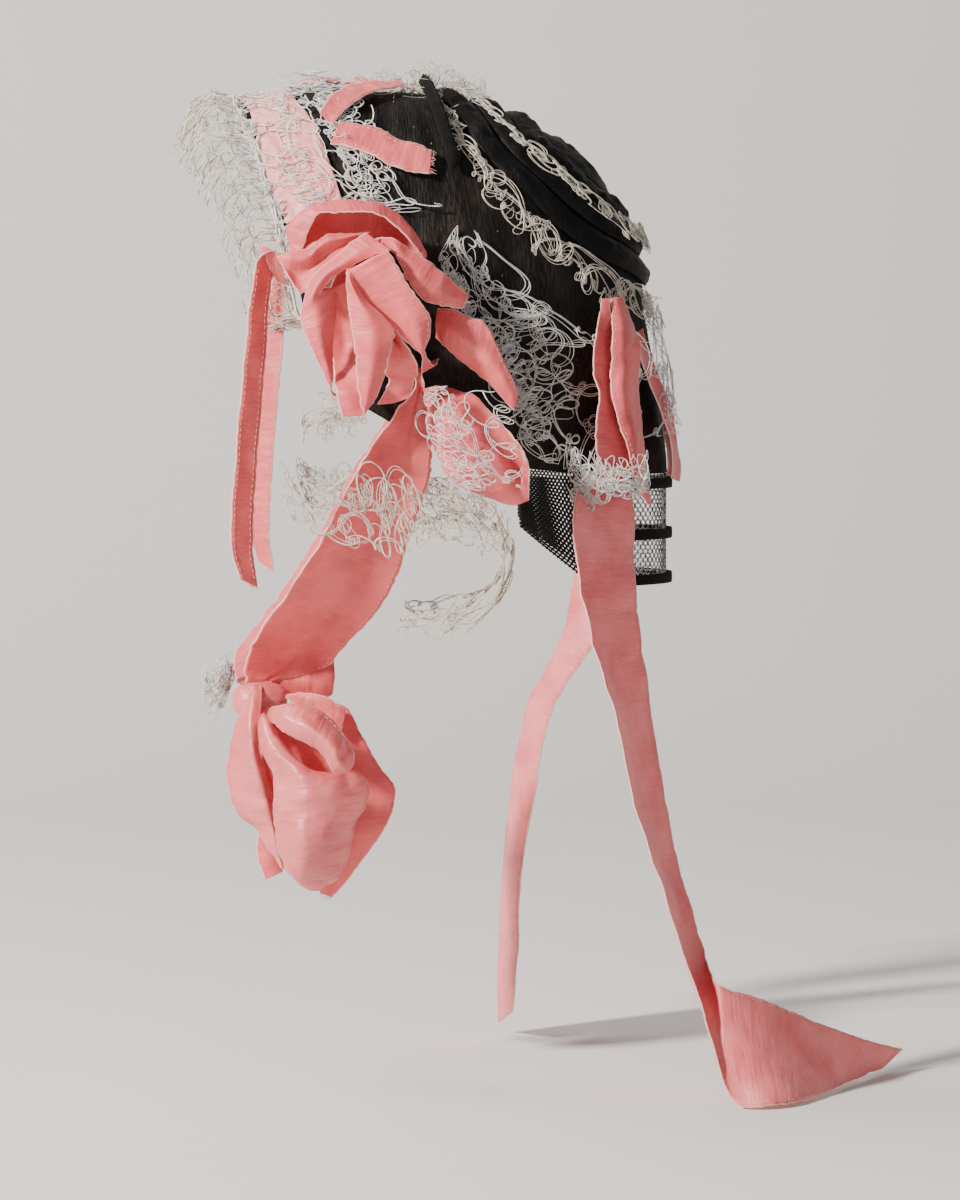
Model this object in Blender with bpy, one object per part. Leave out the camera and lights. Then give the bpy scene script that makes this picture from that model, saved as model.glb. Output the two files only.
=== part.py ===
"""Day cap of black net with pink silk ribbons and white lace, modelled as it is worn.

The cap keeps the form that a head gives it. +Z is up, the wearer faces -Y and the wearer's
left side is +X. The origin is the point on the inside of the crown that rests on the top of
the head. Tables are in millimetres and degrees; the meshes are made in metres.
"""

import math
from collections import namedtuple

import bmesh
import bpy
from mathutils import Vector

MM = 0.001

# The head form that the crown covers, measured from the origin
CROWN_HEIGHT = 95.0
HALF_WIDTH = 76.0
TO_FRONT = 130.0
TO_BACK = 108.0
FRONT_FULLNESS = 3.0
SIDE_FULLNESS = 2.4
BACK_FULLNESS = 2.0
NAPE_TAPER = 0.05
NAPE_FLARE = 0.15
NAPE_DEPTH = 75.0

# Walls of cloth and the clear space between two layers
NET_WALL = 1.2
SILK_WALL = 1.0
LACE_WALL = 1.0
CLEAR = 0.5

PINK = (0.80, 0.36, 0.34, 1.0)
BLACK = (0.012, 0.010, 0.009, 1.0)
VELVET = (0.004, 0.004, 0.004, 1.0)
LACE = (0.72, 0.68, 0.62, 1.0)

# One line across a ribbon: the near selvedge (1) and the far selvedge (2)
Across = namedtuple("Across", "x1 y1 z1 x2 y2 z2")
# One place on the crown: azimuth from the forehead round to the nape, and degrees down
# from the top. Past 90 the second value is 90 plus the millimetres down the upright wall.
Place = namedtuple("Place", "azimuth down")
# One line across a strip that lies on the crown
Strip = namedtuple("Strip", "azimuth1 down1 azimuth2 down2")
# The same place, and the same line, in the even coordinates of chart()
Spot = namedtuple("Spot", "left back")
Line = namedtuple("Line", "left1 back1 left2 back2")


def clear_scene():
    for item in list(bpy.data.objects):
        bpy.data.objects.remove(item, do_unlink=True)


def crown_point(azimuth, down, lift=0.0):
    """The point of the crown at an azimuth and a way down, lifted off its inner face."""
    a = math.radians(azimuth)
    forward = math.cos(a)
    end = TO_FRONT if forward > 0 else TO_BACK
    reach = 1 / math.hypot(forward / end, math.sin(a) / HALF_WIDTH)
    fullest = FRONT_FULLNESS if forward > 0 else BACK_FULLNESS
    power = SIDE_FULLNESS + (fullest - SIDE_FULLNESS) * abs(forward)
    polar = math.radians(min(down, 90.0))
    out = math.sin(polar) ** (2 / power)
    up = math.cos(polar) ** (2 / power) if down < 90 else 0.0
    drop = max(0.0, down - 90.0)
    behind = max(0.0, -forward)
    out *= 1 - NAPE_TAPER * (drop / NAPE_DEPTH) ** 2 + NAPE_FLARE * behind**4 * drop / NAPE_DEPTH
    reach += lift * out
    return Vector(
        (
            reach * out * math.sin(a),
            -reach * forward * out,
            -CROWN_HEIGHT + (CROWN_HEIGHT + lift) * up - drop,
        )
    )


def chart(azimuth, down):
    """A place on the crown as two even coordinates: degrees to the left and to the back."""
    a = math.radians(azimuth)
    return down * math.sin(a), -down * math.cos(a)


def from_chart(left, back):
    return math.degrees(math.atan2(left, -back)), math.hypot(left, back)


def curve_through(rows, steps):
    """Rows of numbers read from a smooth curve through the table's own rows."""
    kind = type(rows[0])
    last = len(rows) - 1
    out = []
    for k in range(steps + 1):
        t = k * last / steps
        i = min(int(t), last - 1)
        f = t - i
        before, here, there, after = (rows[max(0, min(last, i + d))] for d in (-1, 0, 1, 2))
        row = []
        for p0, p1, p2, p3 in zip(before, here, there, after):
            bend = 2 * p0 - 5 * p1 + 4 * p2 - p3 + f * (3 * (p1 - p2) + p3 - p0)
            row.append(p1 + 0.5 * f * (p2 - p0 + f * bend))
        out.append(kind(*row))
    return out


def cloth_look(name, colour, roughness):
    """The plain look of one kind of cloth, made once and shared."""
    look = bpy.data.materials.get(name) or bpy.data.materials.new(name)
    look.use_nodes = True
    shader = look.node_tree.nodes["Principled BSDF"]
    shader.inputs["Base Color"].default_value = colour
    shader.inputs["Roughness"].default_value = roughness
    shader.inputs["Metallic"].default_value = 0.0
    return look


def cloth(name, grid, wall, look, ring=False, peak=None, pierced=False, cell_wall=0.45):
    """A closed wall of cloth on a grid of points: rows run along the piece, in millimetres.

    ring joins the last row to the first, peak closes the first column in one point, and
    pierced cuts a gap through every cell.
    """
    shape = bmesh.new()
    points = [[shape.verts.new(p * MM) for p in row] for row in grid]
    rows = len(grid)
    columns = len(grid[0])
    faces = []
    for i in range(rows if ring else rows - 1):
        here, there = points[i], points[(i + 1) % rows]
        for j in range(columns - 1):
            faces.append(shape.faces.new((here[j], there[j], there[j + 1], here[j + 1])))
    if peak is not None:
        top = shape.verts.new(peak * MM)
        for i in range(rows):
            shape.faces.new((top, points[(i + 1) % rows][0], points[i][0]))
    if pierced:
        shape.normal_update()
        bmesh.ops.inset_individual(shape, faces=faces, thickness=cell_wall * MM, use_even_offset=True)
        bmesh.ops.delete(shape, geom=faces, context="FACES")
    mesh = bpy.data.meshes.new(name)
    shape.to_mesh(mesh)
    shape.free()
    mesh.materials.append(look)
    piece = bpy.data.objects.new(name, mesh)
    bpy.context.collection.objects.link(piece)
    wall_maker = piece.modifiers.new("Wall", "SOLIDIFY")
    wall_maker.thickness = wall * MM
    wall_maker.offset = 0.0
    mesh.shade_smooth()
    mesh.set_sharp_from_angle(angle=math.radians(50))
    return piece


def mirrored(rows):
    return [Across(-r.x1, r.y1, r.z1, -r.x2, r.y2, r.z2) for r in rows]


def ribbon(name, rows, look, steps, columns=2, puff=0.0):
    """A ribbon laid through lines across it; puff swells its middle to one side."""
    lines = curve_through(rows, steps)
    grid = []
    for k, r in enumerate(lines):
        a, b = Vector((r.x1, r.y1, r.z1)), Vector((r.x2, r.y2, r.z2))
        n = lines[min(k + 1, steps)]
        p = lines[max(k - 1, 0)]
        ahead = Vector((n.x1 + n.x2, n.y1 + n.y2, n.z1 + n.z2))
        along = ahead - Vector((p.x1 + p.x2, p.y1 + p.y2, p.z1 + p.z2))
        out = (b - a).cross(along)
        out = out.normalized() if out.length > 1e-6 else Vector((1, 0, 0))
        swell = puff * math.sin(math.pi * k / steps)
        row = []
        for j in range(columns + 1):
            t = j / columns
            row.append(a.lerp(b, t) + out * (swell * math.sin(math.pi * t)))
        grid.append(row)
    return cloth(name, grid, SILK_WALL, look)


def strip_on_crown(name, rows, look, wall, steps, columns, lift, ripple, waves, both_sides=True):
    """A strip that lies on the crown, between two lines of places.

    Its rows go from the middle of the head to one side, and both_sides carries them over
    to the other. ripple and waves raise its second edge in gathers.
    """
    table = list(rows)
    if both_sides:
        table = [Strip(-r.azimuth1, r.down1, -r.azimuth2, r.down2) for r in reversed(rows[1:])] + table
    plan = [Line(*chart(r.azimuth1, r.down1), *chart(r.azimuth2, r.down2)) for r in table]
    lines = curve_through(plan, steps)
    grid = []
    for k, r in enumerate(lines):
        row = []
        for j in range(columns + 1):
            t = j / columns
            place = from_chart(r.left1 + (r.left2 - r.left1) * t, r.back1 + (r.back2 - r.back1) * t)
            gather = ripple * t * (1 - math.cos(2 * math.pi * waves * k / steps)) / 2
            row.append(crown_point(*place, lift + gather))
        grid.append(row)
    return cloth(name, grid, wall, look)


def crown_net(look):
    """The net foundation: a hollow crown, open below and at the face."""
    # Where the edge of the net lies, from the forehead round to the nape
    edge = [
        Place(0, 20), Place(26, 30), Place(44, 50), Place(54, 68), Place(64, 92), Place(78, 128),
        Place(100, 145), Place(122, 155), Place(150, 160), Place(180, 160),
    ]  # fmt: skip
    around, down_steps, peak_down = 34, 9, 2.0
    grid = []
    for k in range(around):
        azimuth = 360.0 * k / around
        folded = azimuth if azimuth <= 180 else 360 - azimuth
        low = next(i for i in range(len(edge) - 1) if edge[i + 1].azimuth >= folded)
        a, b = edge[low], edge[low + 1]
        end = a.down + (b.down - a.down) * (folded - a.azimuth) / (b.azimuth - a.azimuth)
        spread = [(j / down_steps) ** 0.8 for j in range(down_steps + 1)]
        grid.append([crown_point(azimuth, peak_down + (end - peak_down) * s, NET_WALL / 2) for s in spread])
    peak = Vector((0, 0, NET_WALL / 2))
    return cloth("crown_net", grid, NET_WALL, look, ring=True, peak=peak)


# Degrees down the back of the crown to the middle of its folds
FOLD_CENTRE = 48.0


def oval(rows, factor):
    """A closed line of places round the back of the crown, drawn in towards its centre."""
    side = [chart(r.azimuth, r.down) for r in rows]
    loop = side + [(-left, back) for left, back in reversed(side[1:-1])]
    return [Spot(left * factor, FOLD_CENTRE + (back - FOLD_CENTRE) * factor) for left, back in loop]


def crown_folds(look):
    """The gathered black silk over the back of the crown: rolled folds, one inside another."""
    outer_line = [
        Place(180, 9), Place(137, 15), Place(128, 28), Place(126, 44), Place(132, 56), Place(144, 70),
        Place(158, 78), Place(180, 83),
    ]  # fmt: skip
    Fold = namedtuple("Fold", "name outer inner height ripples")
    folds = [
        Fold("crown_fold_outer", 1.00, 0.80, 2.4, 9),
        Fold("crown_fold_middle", 0.78, 0.58, 3.0, 7),
        Fold("crown_fold_inner", 0.56, 0.34, 3.0, 5),
    ]
    steps, centre_steps, columns, centre_height = 32, 20, 3, 2.6
    seat = NET_WALL + CLEAR + 0.8
    for fold in folds:
        edges = []
        for factor in (fold.outer, fold.inner):
            loop = oval(outer_line, factor)
            edges.append(curve_through(loop + [loop[0]], steps)[:-1])
        grid = []
        for k in range(steps):
            row = []
            for j in range(columns + 1):
                t = j / columns
                a, b = edges[0][k], edges[1][k]
                place = from_chart(a.left + (b.left - a.left) * t, a.back + (b.back - a.back) * t)
                wave = 1 - 0.25 * (1 + math.cos(2 * math.pi * fold.ripples * k / steps))
                row.append(crown_point(*place, seat + fold.height * wave * math.sin(math.pi * t)))
            grid.append(row)
        cloth(fold.name, grid, NET_WALL, look, ring=True)
    middle = oval(outer_line, 0.32)
    rim = curve_through(middle + [middle[0]], centre_steps)[:-1]
    centre = Spot(0.0, FOLD_CENTRE)
    grid = []
    for spot in rim:
        row = []
        for t in (0.35, 0.7, 1.0):
            place = from_chart(spot.left * t, centre.back + (spot.back - centre.back) * t)
            row.append(crown_point(*place, seat + centre_height * (1 - t * t)))
        grid.append(row)
    top = crown_point(180.0, centre.back, seat + centre_height)
    cloth("crown_fold_centre", grid, NET_WALL, look, ring=True, peak=top)


def face_frill(look):
    """The lace frill that stands round the face: a net cut through in rows of gaps, in two halves.

    Each row of the table gives the seam's place on the crown and how far the frill reaches
    forward and up from it there.
    """
    Reach = namedtuple("Reach", "azimuth down forward drop outward")
    reach = [
        Reach(0, 22.1, 30, 22, 0), Reach(24, 31.4, 30, 22, 4), Reach(43, 51.6, 30, 20, 5),
        Reach(53, 69, 28, 14, 2), Reach(59, 85, 24, 8, 0), Reach(63.4, 97, 20, 2, -2),
    ]  # fmt: skip
    other = [Reach(-r.azimuth, r.down, r.forward, r.drop, -r.outward) for r in reversed(reach[1:])]
    steps, columns, flute, stand = 24, 3, 2.2, 7.0
    lines = curve_through(other + reach, steps)
    grid = []
    for k, r in enumerate(lines):
        place = from_chart(*chart(r.azimuth, r.down))
        seam = crown_point(*place, NET_WALL)
        out = (crown_point(*place, NET_WALL + 1) - seam).normalized()
        wave = flute * math.cos(math.pi * k)
        row = []
        for j in range(columns + 1):
            t = j / columns
            rise = stand * math.sin(math.pi * min(1.0, t * 1.2))
            reached = Vector((r.outward * t, -r.forward * t, -r.drop * t * t))
            row.append(seam + out * (rise + wave * t) + reached)
        grid.append(row)
    middle, half_gap = steps // 2, Vector((CLEAR / 2, 0, 0))
    right, left = grid[: middle + 1], grid[middle:]
    right[-1] = [point - half_gap for point in right[-1]]
    left[0] = [point + half_gap for point in left[0]]
    for side, half in (("right", right), ("left", left)):
        cloth(f"face_frill_{side}", half, LACE_WALL, look, pierced=True, cell_wall=0.9)


BAND = [
    Strip(0, 21, 0, 12), Strip(26, 30, 42, 27), Strip(42, 47, 62, 46), Strip(52, 64, 72, 63),
    Strip(60, 78, 78, 77), Strip(64, 88, 80, 88),
]  # fmt: skip


def head_band(look):
    """The wide silk ribbon over the head, puckered under its net cover."""
    return strip_on_crown(
        "head_band", BAND, look, SILK_WALL, steps=26, columns=2,
        lift=NET_WALL + CLEAR + 0.7, ripple=0.8, waves=10,
    )  # fmt: skip


def band_lace(look):
    """The lace edging along the back of the head band."""
    rows = [
        Strip(0, 9.5, 180, 1), Strip(52, 28, 76, 22), Strip(68, 47, 82, 44), Strip(79, 64, 92, 61),
        Strip(84, 74, 104, 68),
    ]  # fmt: skip
    return strip_on_crown(
        "band_lace", rows, look, LACE_WALL, steps=28, columns=2,
        lift=NET_WALL + CLEAR + 0.6, ripple=2.0, waves=9,
    )  # fmt: skip


def crown_laces(look):
    """Two lace edgings that follow the folds on the back of the crown."""
    lower = [
        Strip(180, 5.5, 180, 1), Strip(132, 13, 125, 8), Strip(123, 28, 116, 27),
        Strip(122, 44, 115, 45), Strip(129, 59, 123, 63), Strip(142, 74, 138, 80),
        Strip(157, 82, 156, 89), Strip(180, 87, 180, 94),
    ]  # fmt: skip
    upper = [
        Strip(180, 17, 180, 13), Strip(150, 24, 143, 21), Strip(142, 36, 138, 33),
        Strip(145, 48, 141, 49), Strip(155, 60, 152, 63), Strip(167, 68, 166, 72),
        Strip(180, 70, 180, 75),
    ]  # fmt: skip
    on_net, on_folds, wave_height, steps = NET_WALL + CLEAR + 0.6, 7.0, 0.75, 32
    Edging = namedtuple("Edging", "name rows lift waves")
    edgings = [
        Edging("crown_lace_lower", lower, on_net, 12),
        Edging("crown_lace_upper", upper, on_folds, 10),
    ]
    for e in edgings:
        loop = e.rows + [Strip(-r.azimuth1, r.down1, -r.azimuth2, r.down2) for r in reversed(e.rows[1:-1])]
        plan = [Line(*chart(r.azimuth1, r.down1), *chart(r.azimuth2, r.down2)) for r in loop]
        lines = curve_through(plan + [plan[0]], steps)[:-1]
        grid = []
        for k, r in enumerate(lines):
            wave = wave_height * (1 - math.cos(2 * math.pi * e.waves * k / steps))
            seam = crown_point(*from_chart(r.left1, r.back1), e.lift)
            hem = crown_point(*from_chart(r.left2, r.back2), e.lift + wave)
            grid.append([seam, hem])
        cloth(e.name, grid, LACE_WALL, look, ring=True)


def crumpled_knot(name, centre, size, look):
    """A soft knot of ribbon: an egg drawn in along a few pleats."""
    around, rings, pleats, pleat_depth = 12, 6, 4, 0.10
    shape = bmesh.new()
    bmesh.ops.create_uvsphere(shape, u_segments=around, v_segments=rings, radius=1.0)
    for corner in shape.verts:
        turn = math.atan2(corner.co.z, corner.co.y)
        draw_in = 1 - pleat_depth * (1 + math.cos(pleats * turn)) / 2
        x, y, z = corner.co
        corner.co = (centre + Vector((size.x * x, size.y * y * draw_in, size.z * z * draw_in))) * MM
    mesh = bpy.data.meshes.new(name)
    shape.to_mesh(mesh)
    shape.free()
    mesh.materials.append(look)
    mesh.shade_smooth()
    piece = bpy.data.objects.new(name, mesh)
    bpy.context.collection.objects.link(piece)
    return piece


def velvet_bar(look):
    """A rounded velvet bar over the head, from one side to the other."""
    path = [Place(112, 56), Place(112, 44), Place(114, 30), Place(122, 17), Place(180, 7)]
    radius, over_lace, steps = 2.6, 2.9, 22
    left = [Spot(*chart(p.azimuth, p.down)) for p in path]
    spots = left + [Spot(-s.left, s.back) for s in reversed(left[:-1])]
    curve = bpy.data.curves.new("velvet_bar", "CURVE")
    curve.dimensions = "3D"
    curve.bevel_depth = radius * MM
    curve.bevel_resolution = 1
    curve.use_fill_caps = True
    line = curve.splines.new("POLY")
    middle = NET_WALL + CLEAR + over_lace + radius
    points = [crown_point(*from_chart(s.left, s.back), middle) for s in curve_through(spots, steps)]
    line.points.add(len(points) - 1)
    for point, place in zip(line.points, points):
        point.co = (*(place * MM), 1.0)
    curve.materials.append(look)
    piece = bpy.data.objects.new("velvet_bar", curve)
    bpy.context.collection.objects.link(piece)


def top_bow(look):
    """The narrow ribbon on top: a puckered run over the head and a bow's two arms."""
    pucker = [
        Across(8, -41, 5.4, -2, -41, 5.4), Across(12, -30, 5.4, -2, -30, 7.5),
        Across(14, -23, 4.8, 0, -22, 5.4), Across(16, -15, 5.4, 2, -14, 7.5),
        Across(14, -6, 4.8, 2, -5, 5.6), Across(12, 2, 5.4, 2, 3, 7.5),
    ]  # fmt: skip
    upper = [
        Across(54, -31, -10.4, 58, -26, -15.4), Across(45, -28, -4.4, 53, -20, -9.4),
        Across(33, -22, 1.6, 44, -13, -3.4), Across(24, -12, 4.6, 34, -5, 0.6),
        Across(18, 1, 5.6, 24, 6, 2.6),
    ]  # fmt: skip
    lower = [
        Across(58.4, -22, -14, 64.4, -26, -24), Across(59.4, -17, -15, 65.4, -21, -25),
        Across(61.4, -6, -17, 67.4, -10, -28), Across(63.4, 3, -22, 69.4, -1, -33),
        Across(64.4, 11, -24, 69.4, 8, -36), Across(64.4, 17, -27, 69.4, 16, -37),
    ]  # fmt: skip
    ribbon("top_bow_pucker", pucker, look, 10, 1)
    ribbon("top_bow_upper_arm", upper, look, 8, 1)
    ribbon("top_bow_lower_arm", lower, look, 10, 1)


# The rosette of wide ribbon at the temple, on the wearer's left side. Each ribbon starts and
# ends where it is sewn to the crown.
ROSETTE = {
    "back_loop": [
        Across(79.4, -36, -82, 76.9, -41, -80), Across(104, -36, -71, 88, -43, -71),
        Across(106, -35, -62, 88, -45, -62), Across(108, -30, -52, 84, -38, -52),
        Across(108, -18, -47, 80, -18, -57), Across(107, -2, -52, 80, -7, -62),
        Across(105, 7, -61, 81, 0, -68), Across(101, 12, -70, 84, 5, -74),
        Across(81.4, 10, -82, 77, 4, -82),
    ],
    "right_tail": [
        Across(77.4, -10, -74, 77.4, -8, -80), Across(94, -8, -66, 95, -6, -76),
        Across(108, -6, -63, 110, -4, -75), Across(109, 5, -65, 111, 3, -80),
        Across(106, 15, -73, 108, 10, -89), Across(102, 23, -81, 104, 19, -92),
        Across(98, 31, -88, 100, 28, -95),
    ],
    "left_loop": [
        Across(78.7, -20, -93, 78.7, -27, -95), Across(94, -15, -74, 92, -24, -82),
        Across(105, -12, -66, 101, -21, -76), Across(109, -22, -70, 101, -29, -82),
        Across(113, -30, -77, 100, -38, -75), Across(113, -36, -95, 106, -23, -93),
        Across(112, -35, -112, 106, -23, -112), Across(110, -28, -126, 104, -23, -129),
        Across(104, -22, -136, 100, -18, -137), Across(90, -17, -130, 88, -11, -131),
        Across(77.5, -13, -124, 77.5, -6, -126),
    ],
    "centre_loop": [
        Across(77.8, -6, -98, 77.8, -13, -101), Across(96, -5, -82, 94, -12, -88),
        Across(113, -10, -73, 108, -17, -70), Across(119, -16, -85, 114, -18, -79),
        Across(121, -17, -95, 117, -2, -96), Across(121, -16, -109, 117, 2, -104),
        Across(119, -15, -121, 116, -1, -116), Across(116, -13, -130, 113, -6, -131),
        Across(112, -20, -139, 112, -11, -139),
    ],
    "right_fold": [
        Across(116, -2, -70, 121, -16, -78), Across(115, 4, -79, 121, -7, -91),
        Across(113, 12, -90, 120, 1, -100), Across(112, 17, -99, 118, 5, -110),
        Across(108, 14, -112, 115, 8, -117), Across(94, 13, -121, 95, 18, -118),
        Across(76.6, 14, -117, 76.6, 20, -115),
    ],
    "inner_fold": [
        Across(77.7, -12, -112, 77.7, -2, -109), Across(90, -18, -109, 90, -4, -99),
        Across(100, -21, -108, 99, -4, -94), Across(100, -19, -117, 99, 3, -103),
        Across(98, -12, -126, 98, 8, -114), Across(95, 1, -133, 95, 11, -124),
    ],
}  # fmt: skip

CHEEK_RIBBON = [
    Across(77, -44, -84, 77, -49, -82), Across(84, -47, -75, 84, -52, -75),
    Across(86, -49, -70, 84, -54, -68), Across(88, -54, -72, 80, -55, -68),
    Across(86, -57, -77, 80, -50, -77), Across(86, -60, -95, 80.6, -52, -95),
    Across(84, -63, -124, 78, -54, -124), Across(83, -66, -158, 77, -57, -158),
    Across(82, -68, -192, 76, -59, -192), Across(82, -64, -208, 76, -57, -212),
]  # fmt: skip

EAR_UPPER_LOOP = [
    Across(76.4, 23, -99, 76.4, 23, -108), Across(85, 17, -95, 85, 18, -108),
    Across(96, 21, -94, 95, 25, -112), Across(100, 38, -99, 98, 34, -119),
    Across(101, 42, -105, 97, 37, -122), Across(99, 48, -118, 95, 42, -129),
    Across(93, 52, -128, 90, 47, -135), Across(77, 50, -132, 77, 44, -137),
]  # fmt: skip

EAR_LOWER_LOOP = [
    Across(76.3, 17, -124, 76.3, 23, -126), Across(96, 16, -129, 89, 21, -134),
    Across(100, 35, -132, 92, 17, -141), Across(104, 47, -144, 94, 18, -153),
    Across(104, 57, -157, 93, 21, -164), Across(101, 58, -167, 92, 33, -171),
    Across(97, 57, -174, 91, 42, -175), Across(93, 46, -165, 86, 33, -162),
    Across(88, 34, -150, 83, 26, -150), Across(78, 32, -141, 77.6, 25, -141),
]  # fmt: skip

CHIN_TIE = [
    Across(77.9, 9, -120, 77.1, 13, -119), Across(86, 10, -128, 82, 14, -127),
    Across(88, 3, -136, 79, 16, -138), Across(88, -6, -149, 77, 17, -150),
    Across(85, -16, -165, 73, 16, -166), Across(78, -28, -188, 66, 9, -186),
    Across(70, -37, -203, 58, 2, -208), Across(60, -47, -218, 47, -7, -224),
    Across(48, -58, -233, 36, -19, -237), Across(38, -64, -246, 26, -31, -249),
    Across(35, -64, -255.2, 28, -50, -255),
]  # fmt: skip

BACK_BOW = {
    "front": [
        Across(50, 86, -86, 39, 98, -86), Across(62, 93, -103, 44, 104, -103),
        Across(66, 94, -120, 46, 105, -121), Across(68, 97, -139, 48, 106, -139),
        Across(66, 102, -156, 48, 108, -157), Across(62, 106, -169, 46, 109, -169),
        Across(56, 110, -178, 50, 112, -178),
    ],
    "inner": [
        Across(54.9, 77.3, -92, 51.9, 82.3, -89), Across(66, 82, -104, 58, 88, -103),
        Across(73, 84, -131, 58, 92, -131), Across(74, 86, -150, 60, 94, -150),
        Across(70, 88, -165, 56, 98, -163),
    ],
    "far": [
        Across(30.6, 103.2, -106, 20.4, 107.7, -102), Across(36, 107, -116, 22, 111, -112),
        Across(34, 113, -131, 14, 118, -129), Across(30, 118, -144, 8, 122, -143),
        Across(26, 121, -157, 6, 125, -160), Across(24, 121, -167, 6, 125, -169),
    ],
}  # fmt: skip


def temple_ribbons(look):
    """On each side: the rosette, the narrow cheek ribbon and the two loops below the ear."""
    puffs = {
        "back_loop": 0, "right_tail": 1, "left_loop": 3, "centre_loop": 3, "right_fold": 3, "inner_fold": 1,
    }  # fmt: skip
    for side, turn, sign in (("left", list, 1), ("right", mirrored, -1)):
        for part, rows in ROSETTE.items():
            ribbon(f"rosette_{side}_{part}", turn(rows), look, len(rows) - 1, 2, sign * puffs[part])
        ribbon(f"cheek_ribbon_{side}", turn(CHEEK_RIBBON), look, 12, 1)
        ribbon(f"ear_loop_upper_{side}", turn(EAR_UPPER_LOOP), look, 8, 2, sign * 2)
        ribbon(f"ear_loop_lower_{side}", turn(EAR_LOWER_LOOP), look, 11, 2, sign * 3)


def chin_ribbons(look):
    """The wide ties under the jaw, their knot and the bow on the chest."""
    knot_centre, knot_size = Vector((32, -58, -263)), Vector((9, 13, 8))
    crumpled_knot("chin_knot", knot_centre, knot_size, look)
    bow = {
        "left_loop": [
            Across(36, -62, -270.6, 36, -56, -270.6), Across(43, -65, -276, 46, -57, -276),
            Across(44, -70, -284, 54, -56, -284), Across(42, -72, -299, 54, -53, -298),
            Across(42, -68, -311, 52, -52, -313), Across(42, -59, -322, 50, -50, -324),
            Across(44, -50, -333, 48, -48, -335),
        ],
        "lobe": [
            Across(41.2, -58, -265, 41.2, -52, -264), Across(54, -52, -267, 52, -44, -266),
            Across(61, -48, -280, 54, -32, -275), Across(64, -46, -295, 52, -13, -294),
            Across(64, -47, -316, 52, -12, -309), Across(60, -44, -332, 48, -17, -325),
            Across(54, -38, -341, 46, -24, -338), Across(50, -32, -344, 46, -29, -343),
        ],
        "upper_lobe": [
            Across(40.5, -60, -258.7, 39.5, -52, -257.7), Across(58, -54, -259, 54, -45, -257),
            Across(70, -48, -265, 66, -39, -263), Across(74, -42, -267, 62, -30, -263),
            Across(76, -34, -274, 62, -22, -271), Across(74, -26, -282, 63, -17, -282),
            Across(70, -26, -288, 65, -18, -289),
        ],
        "back_panel": [
            Across(35, -46, -266, 28, -46, -266), Across(34, -38, -271, 30, -24, -268),
            Across(38, -31, -288, 36, -11, -283), Across(40, -29, -305, 38, 1, -301),
            Across(40, -31, -327, 38, -3, -317), Across(38, -33, -342, 36, -14, -334),
            Across(36, -31, -346, 34, -27, -348),
        ],
        "top_flap": [
            Across(37, -47.3, -262.5, 35, -47.2, -258.5), Across(42, -38, -265, 41, -34, -256),
            Across(46, -28, -267, 42, -27, -259), Across(47, -22, -274, 43, -21, -266),
        ],
        "tail": [
            Across(29, -61, -270.6, 29, -54, -270.6), Across(33, -60, -292, 33, -50, -292),
            Across(34, -59, -311, 34, -49, -311), Across(34, -60, -324, 34, -49, -326),
            Across(34, -59, -335, 34, -50, -335), Across(34, -55, -341, 34, -49, -338),
        ],
    }  # fmt: skip
    puffs = {"left_loop": 4, "lobe": 7, "upper_lobe": 4}
    for part, rows in bow.items():
        ribbon(f"chin_bow_{part}", rows, look, 8, 2, puffs.get(part, 1))
    forward = 4
    upper_part = [Across(r.x1, r.y1 - forward, r.z1, r.x2, r.y2 - forward, r.z2) for r in CHIN_TIE[1:-2]]
    under_chin = [
        Across(32, -72, -247, 24, -44, -250), Across(4, -70, -258, 2, -50, -260),
        Across(-22.3, -62, -262, -22.3, -54, -263),
    ]  # fmt: skip
    far_tie = [CHIN_TIE[0], *upper_part, *under_chin]
    ribbon("chin_tie_left", CHIN_TIE, look, 13, 2, 4)
    ribbon("chin_tie_right", mirrored(far_tie), look, 14, 2, -4)


def nape_ribbons(look):
    """At the nape: the hanging bow loops on each side and the two long streamers."""
    for side, turn, sign in (("left", list, 1), ("right", mirrored, -1)):
        for part, rows in BACK_BOW.items():
            ribbon(f"back_bow_{part}_{side}", turn(rows), look, 9, 2, sign * 2)
    near = [
        Across(54.9, 82.4, -162.8, 42.6, 100, -164.6), Across(74, 77, -178, 48, 103.5, -180),
        Across(80, 78, -200, 50, 103.5, -202), Across(86, 84, -232, 50, 106, -234),
        Across(92, 95, -267, 50, 111, -267), Across(98, 104, -308, 55, 118, -310),
        Across(106, 115, -340, 65, 125, -342), Across(114, 125, -371, 80, 132, -365),
        Across(122, 134, -398, 98, 134, -372), Across(130, 142, -422, 110, 138, -377),
        Across(132, 158, -424, 100, 156, -384), Across(116, 174, -424, 78, 178, -396),
        Across(76, 192, -424, 52, 202, -408), Across(36, 212, -423, 30, 222, -416),
    ]  # fmt: skip
    far = [
        Across(-54.9, 82.4, -162.8, -42.6, 100, -164.6), Across(-63, 82, -200, -48, 101, -200),
        Across(-60, 79, -218, -47, 100, -218), Across(-60, 75, -240, -46, 88, -245),
        Across(-66, 65, -260, -52, 76, -263), Across(-72, 58, -276, -56, 68, -282),
        Across(-78, 52, -310, -56, 62, -314), Across(-81, 48, -350, -54, 56, -352),
        Across(-80, 46, -390, -50, 54, -390), Across(-78, 46, -420, -52, 52, -411),
    ]  # fmt: skip
    ribbon("streamer_left", near, look, 26, 2, 3)
    ribbon("streamer_right", far, look, 14, 2, 2)


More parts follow.
